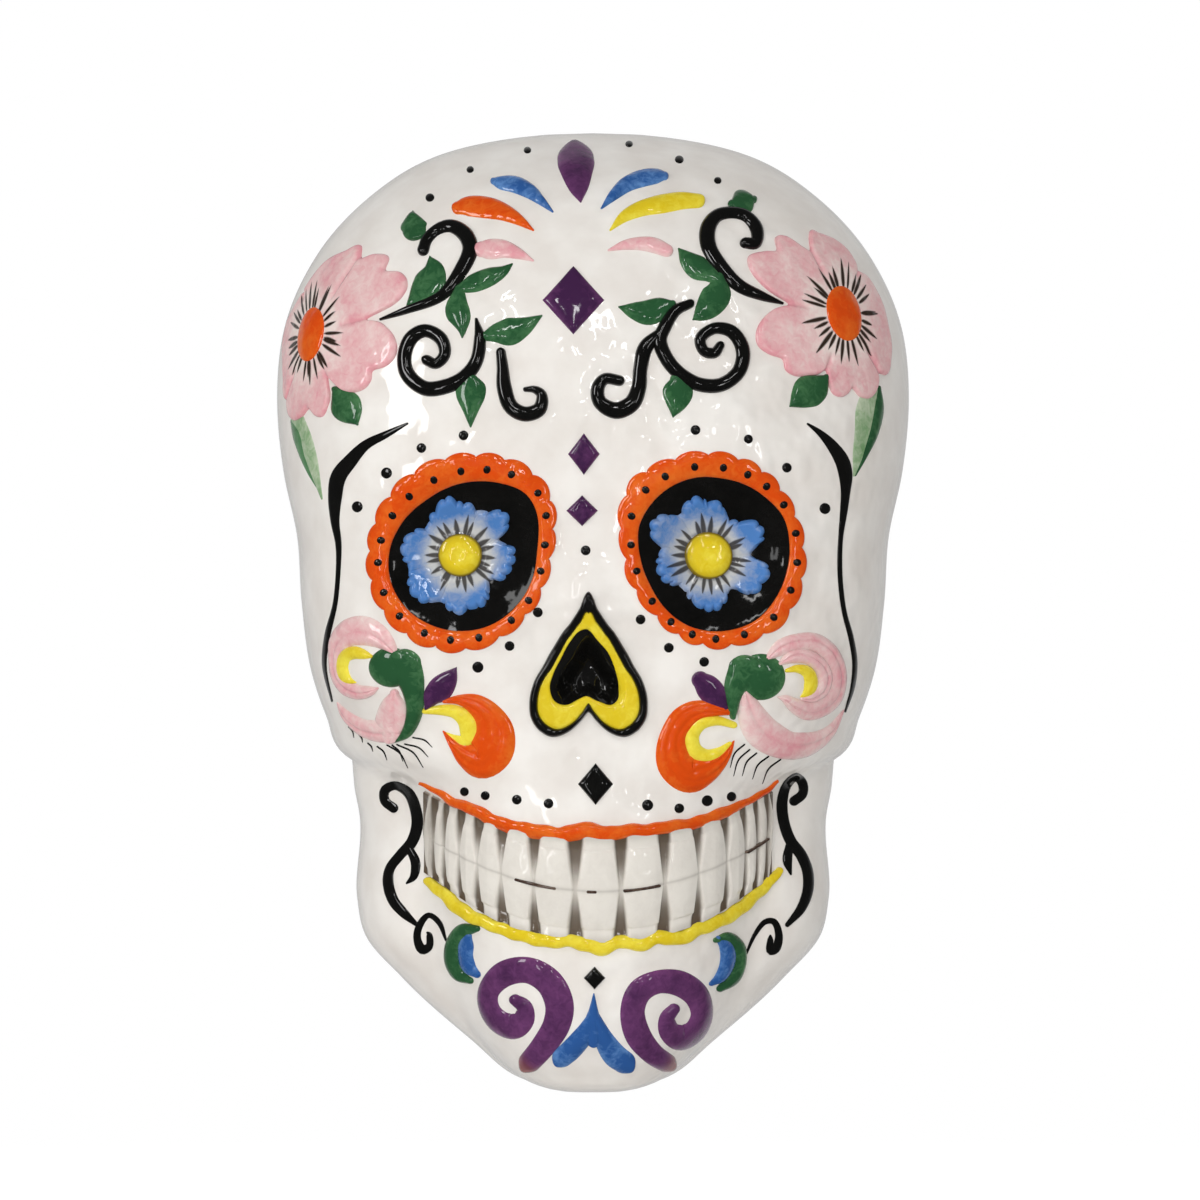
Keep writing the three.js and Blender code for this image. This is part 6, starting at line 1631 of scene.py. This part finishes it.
backdrop = add_node(tree, "ShaderNodeMapRange", {"interpolation_type": "SMOOTHSTEP"},
    {"From Min": BACKDROP_FROM, "From Max": BACKDROP_FULL, "To Min": ROOM_IN_GLAZE,
        "To Max": BACKDROP_IN_GLAZE}, {"Value": ahead}).outputs[0]
mirrored = add_node(tree, "ShaderNodeMix", {"data_type": "FLOAT"}, {2: ROOM_LEVEL},
    {"Factor": path.outputs["Is Glossy Ray"], 3: backdrop}).outputs[0]
level = add_node(tree, "ShaderNodeMix", {"data_type": "FLOAT"}, {3: 1.0},
    {"Factor": seen, 2: mirrored}).outputs[0]
sky = add_node(tree, "ShaderNodeBackground", values={"Color": (1.0, 1.0, 1.0, 1.0)},
    links={"Strength": level})
tree.links.new(sky.outputs[0], add_node(tree, "ShaderNodeOutputWorld").inputs["Surface"])
print("room level:", ROOM_LEVEL)

# %% [markdown]
# ## Lamps
# The highlights in the photograph are many and small, while the shading is soft. One lamp can't give
# both, so the broad lamps light the paint and aren't mirrored, and the narrow ones make the streaks and
# glints.

# %% Lamps
LAMPS = {
    # name: place, target, width, height, watts, mirrored in the glaze, lights the paint
    "soft_key": ((-0.4, -1.75, -0.06), (0, 0, -0.13), 1.0, 0.9, 10.8, False, True),
    "side_fill": ((-1.3, -0.9, 0.3), (0, 0, -0.1), 0.6, 0.8, 3.2, False, True),
    "sheen": ((-0.85, -1.55, 0.0), (0, 0, -0.12), 0.12, 0.5, 1.2, True, False),
    "window": ((-1.3, -0.95, 0.55), (0, 0, -0.1), 0.4, 0.6, 6.0, True, False),
    "ceiling_left": ((-0.5, -1.3, 1.2), (0, 0, -0.08), 0.08, 0.4, 1.8, True, True),
    "ceiling_middle": ((0.0, -1.5, 1.1), (0, 0, -0.08), 0.08, 0.4, 1.6, True, True),
    "ceiling_right": ((0.5, -1.3, 1.2), (0, 0, -0.08), 0.08, 0.4, 1.3, True, True),
    "bulb_left": ((-0.6, -1.75, 0.25), (0, 0, -0.1), 0.06, 0.14, 0.5, True, True),
    "bulb_high": ((0.12, -1.85, 0.5), (0, 0, -0.1), 0.06, 0.14, 0.5, True, True),
    "bulb_right": ((0.5, -1.8, 0.3), (0, 0, -0.1), 0.06, 0.14, 0.45, True, True),
    "back_fill": ((0.4, 1.4, 0.5), (0, 0, -0.12), 1.0, 0.8, 8.0, False, True),
    "doorway": ((0.95, -1.5, 0.15), (0, 0, -0.12), 0.12, 0.4, 1.2, True, True),
}


def aim(lamp, place, target):
    """Turn a lamp or camera so that its -Z axis runs from its place to the target."""
    lamp.location = place
    way = lamp.location.copy()
    way.x, way.y, way.z = np.subtract(target, place)
    lamp.rotation_euler = way.to_track_quat("-Z", "Y").to_euler()


for name, (place, target, wide, high, watts, mirrored, lighting) in LAMPS.items():
    data = bpy.data.lights.new(name, "AREA")
    data.shape = "RECTANGLE"
    data.size, data.size_y, data.energy = wide, high, watts
    lamp = bpy.data.objects.new(name, data)
    lamp.visible_glossy, lamp.visible_diffuse = mirrored, lighting
    scene.collection.objects.link(lamp)
    aim(lamp, place, target)
print("lamps:", len(LAMPS))

# %% [markdown]
# ## Camera
# The skull is seen square on and nearly without perspective, so the camera stands 2 m away. Its lens
# follows from the width that the frame shows at the wall.

# %% Camera
CAMERA_DISTANCE = 2.0  # in front of the rim plane
CAMERA_X, CAMERA_Z = 0.00205, -0.107
FRAME_WIDTH = 0.3522  # seen across at the rim plane
SENSOR_WIDTH = 36.0  # mm
camera_data = bpy.data.cameras.new("front_camera")
camera_data.sensor_width = SENSOR_WIDTH
camera_data.lens = SENSOR_WIDTH * CAMERA_DISTANCE / FRAME_WIDTH
camera = bpy.data.objects.new("front_camera", camera_data)
scene.collection.objects.link(camera)
aim(camera, (CAMERA_X, -CAMERA_DISTANCE, CAMERA_Z), (CAMERA_X, 0.0, CAMERA_Z))
scene.camera = camera
scene.view_settings.view_transform = "Standard"
print("lens in mm:", round(camera_data.lens, 1))
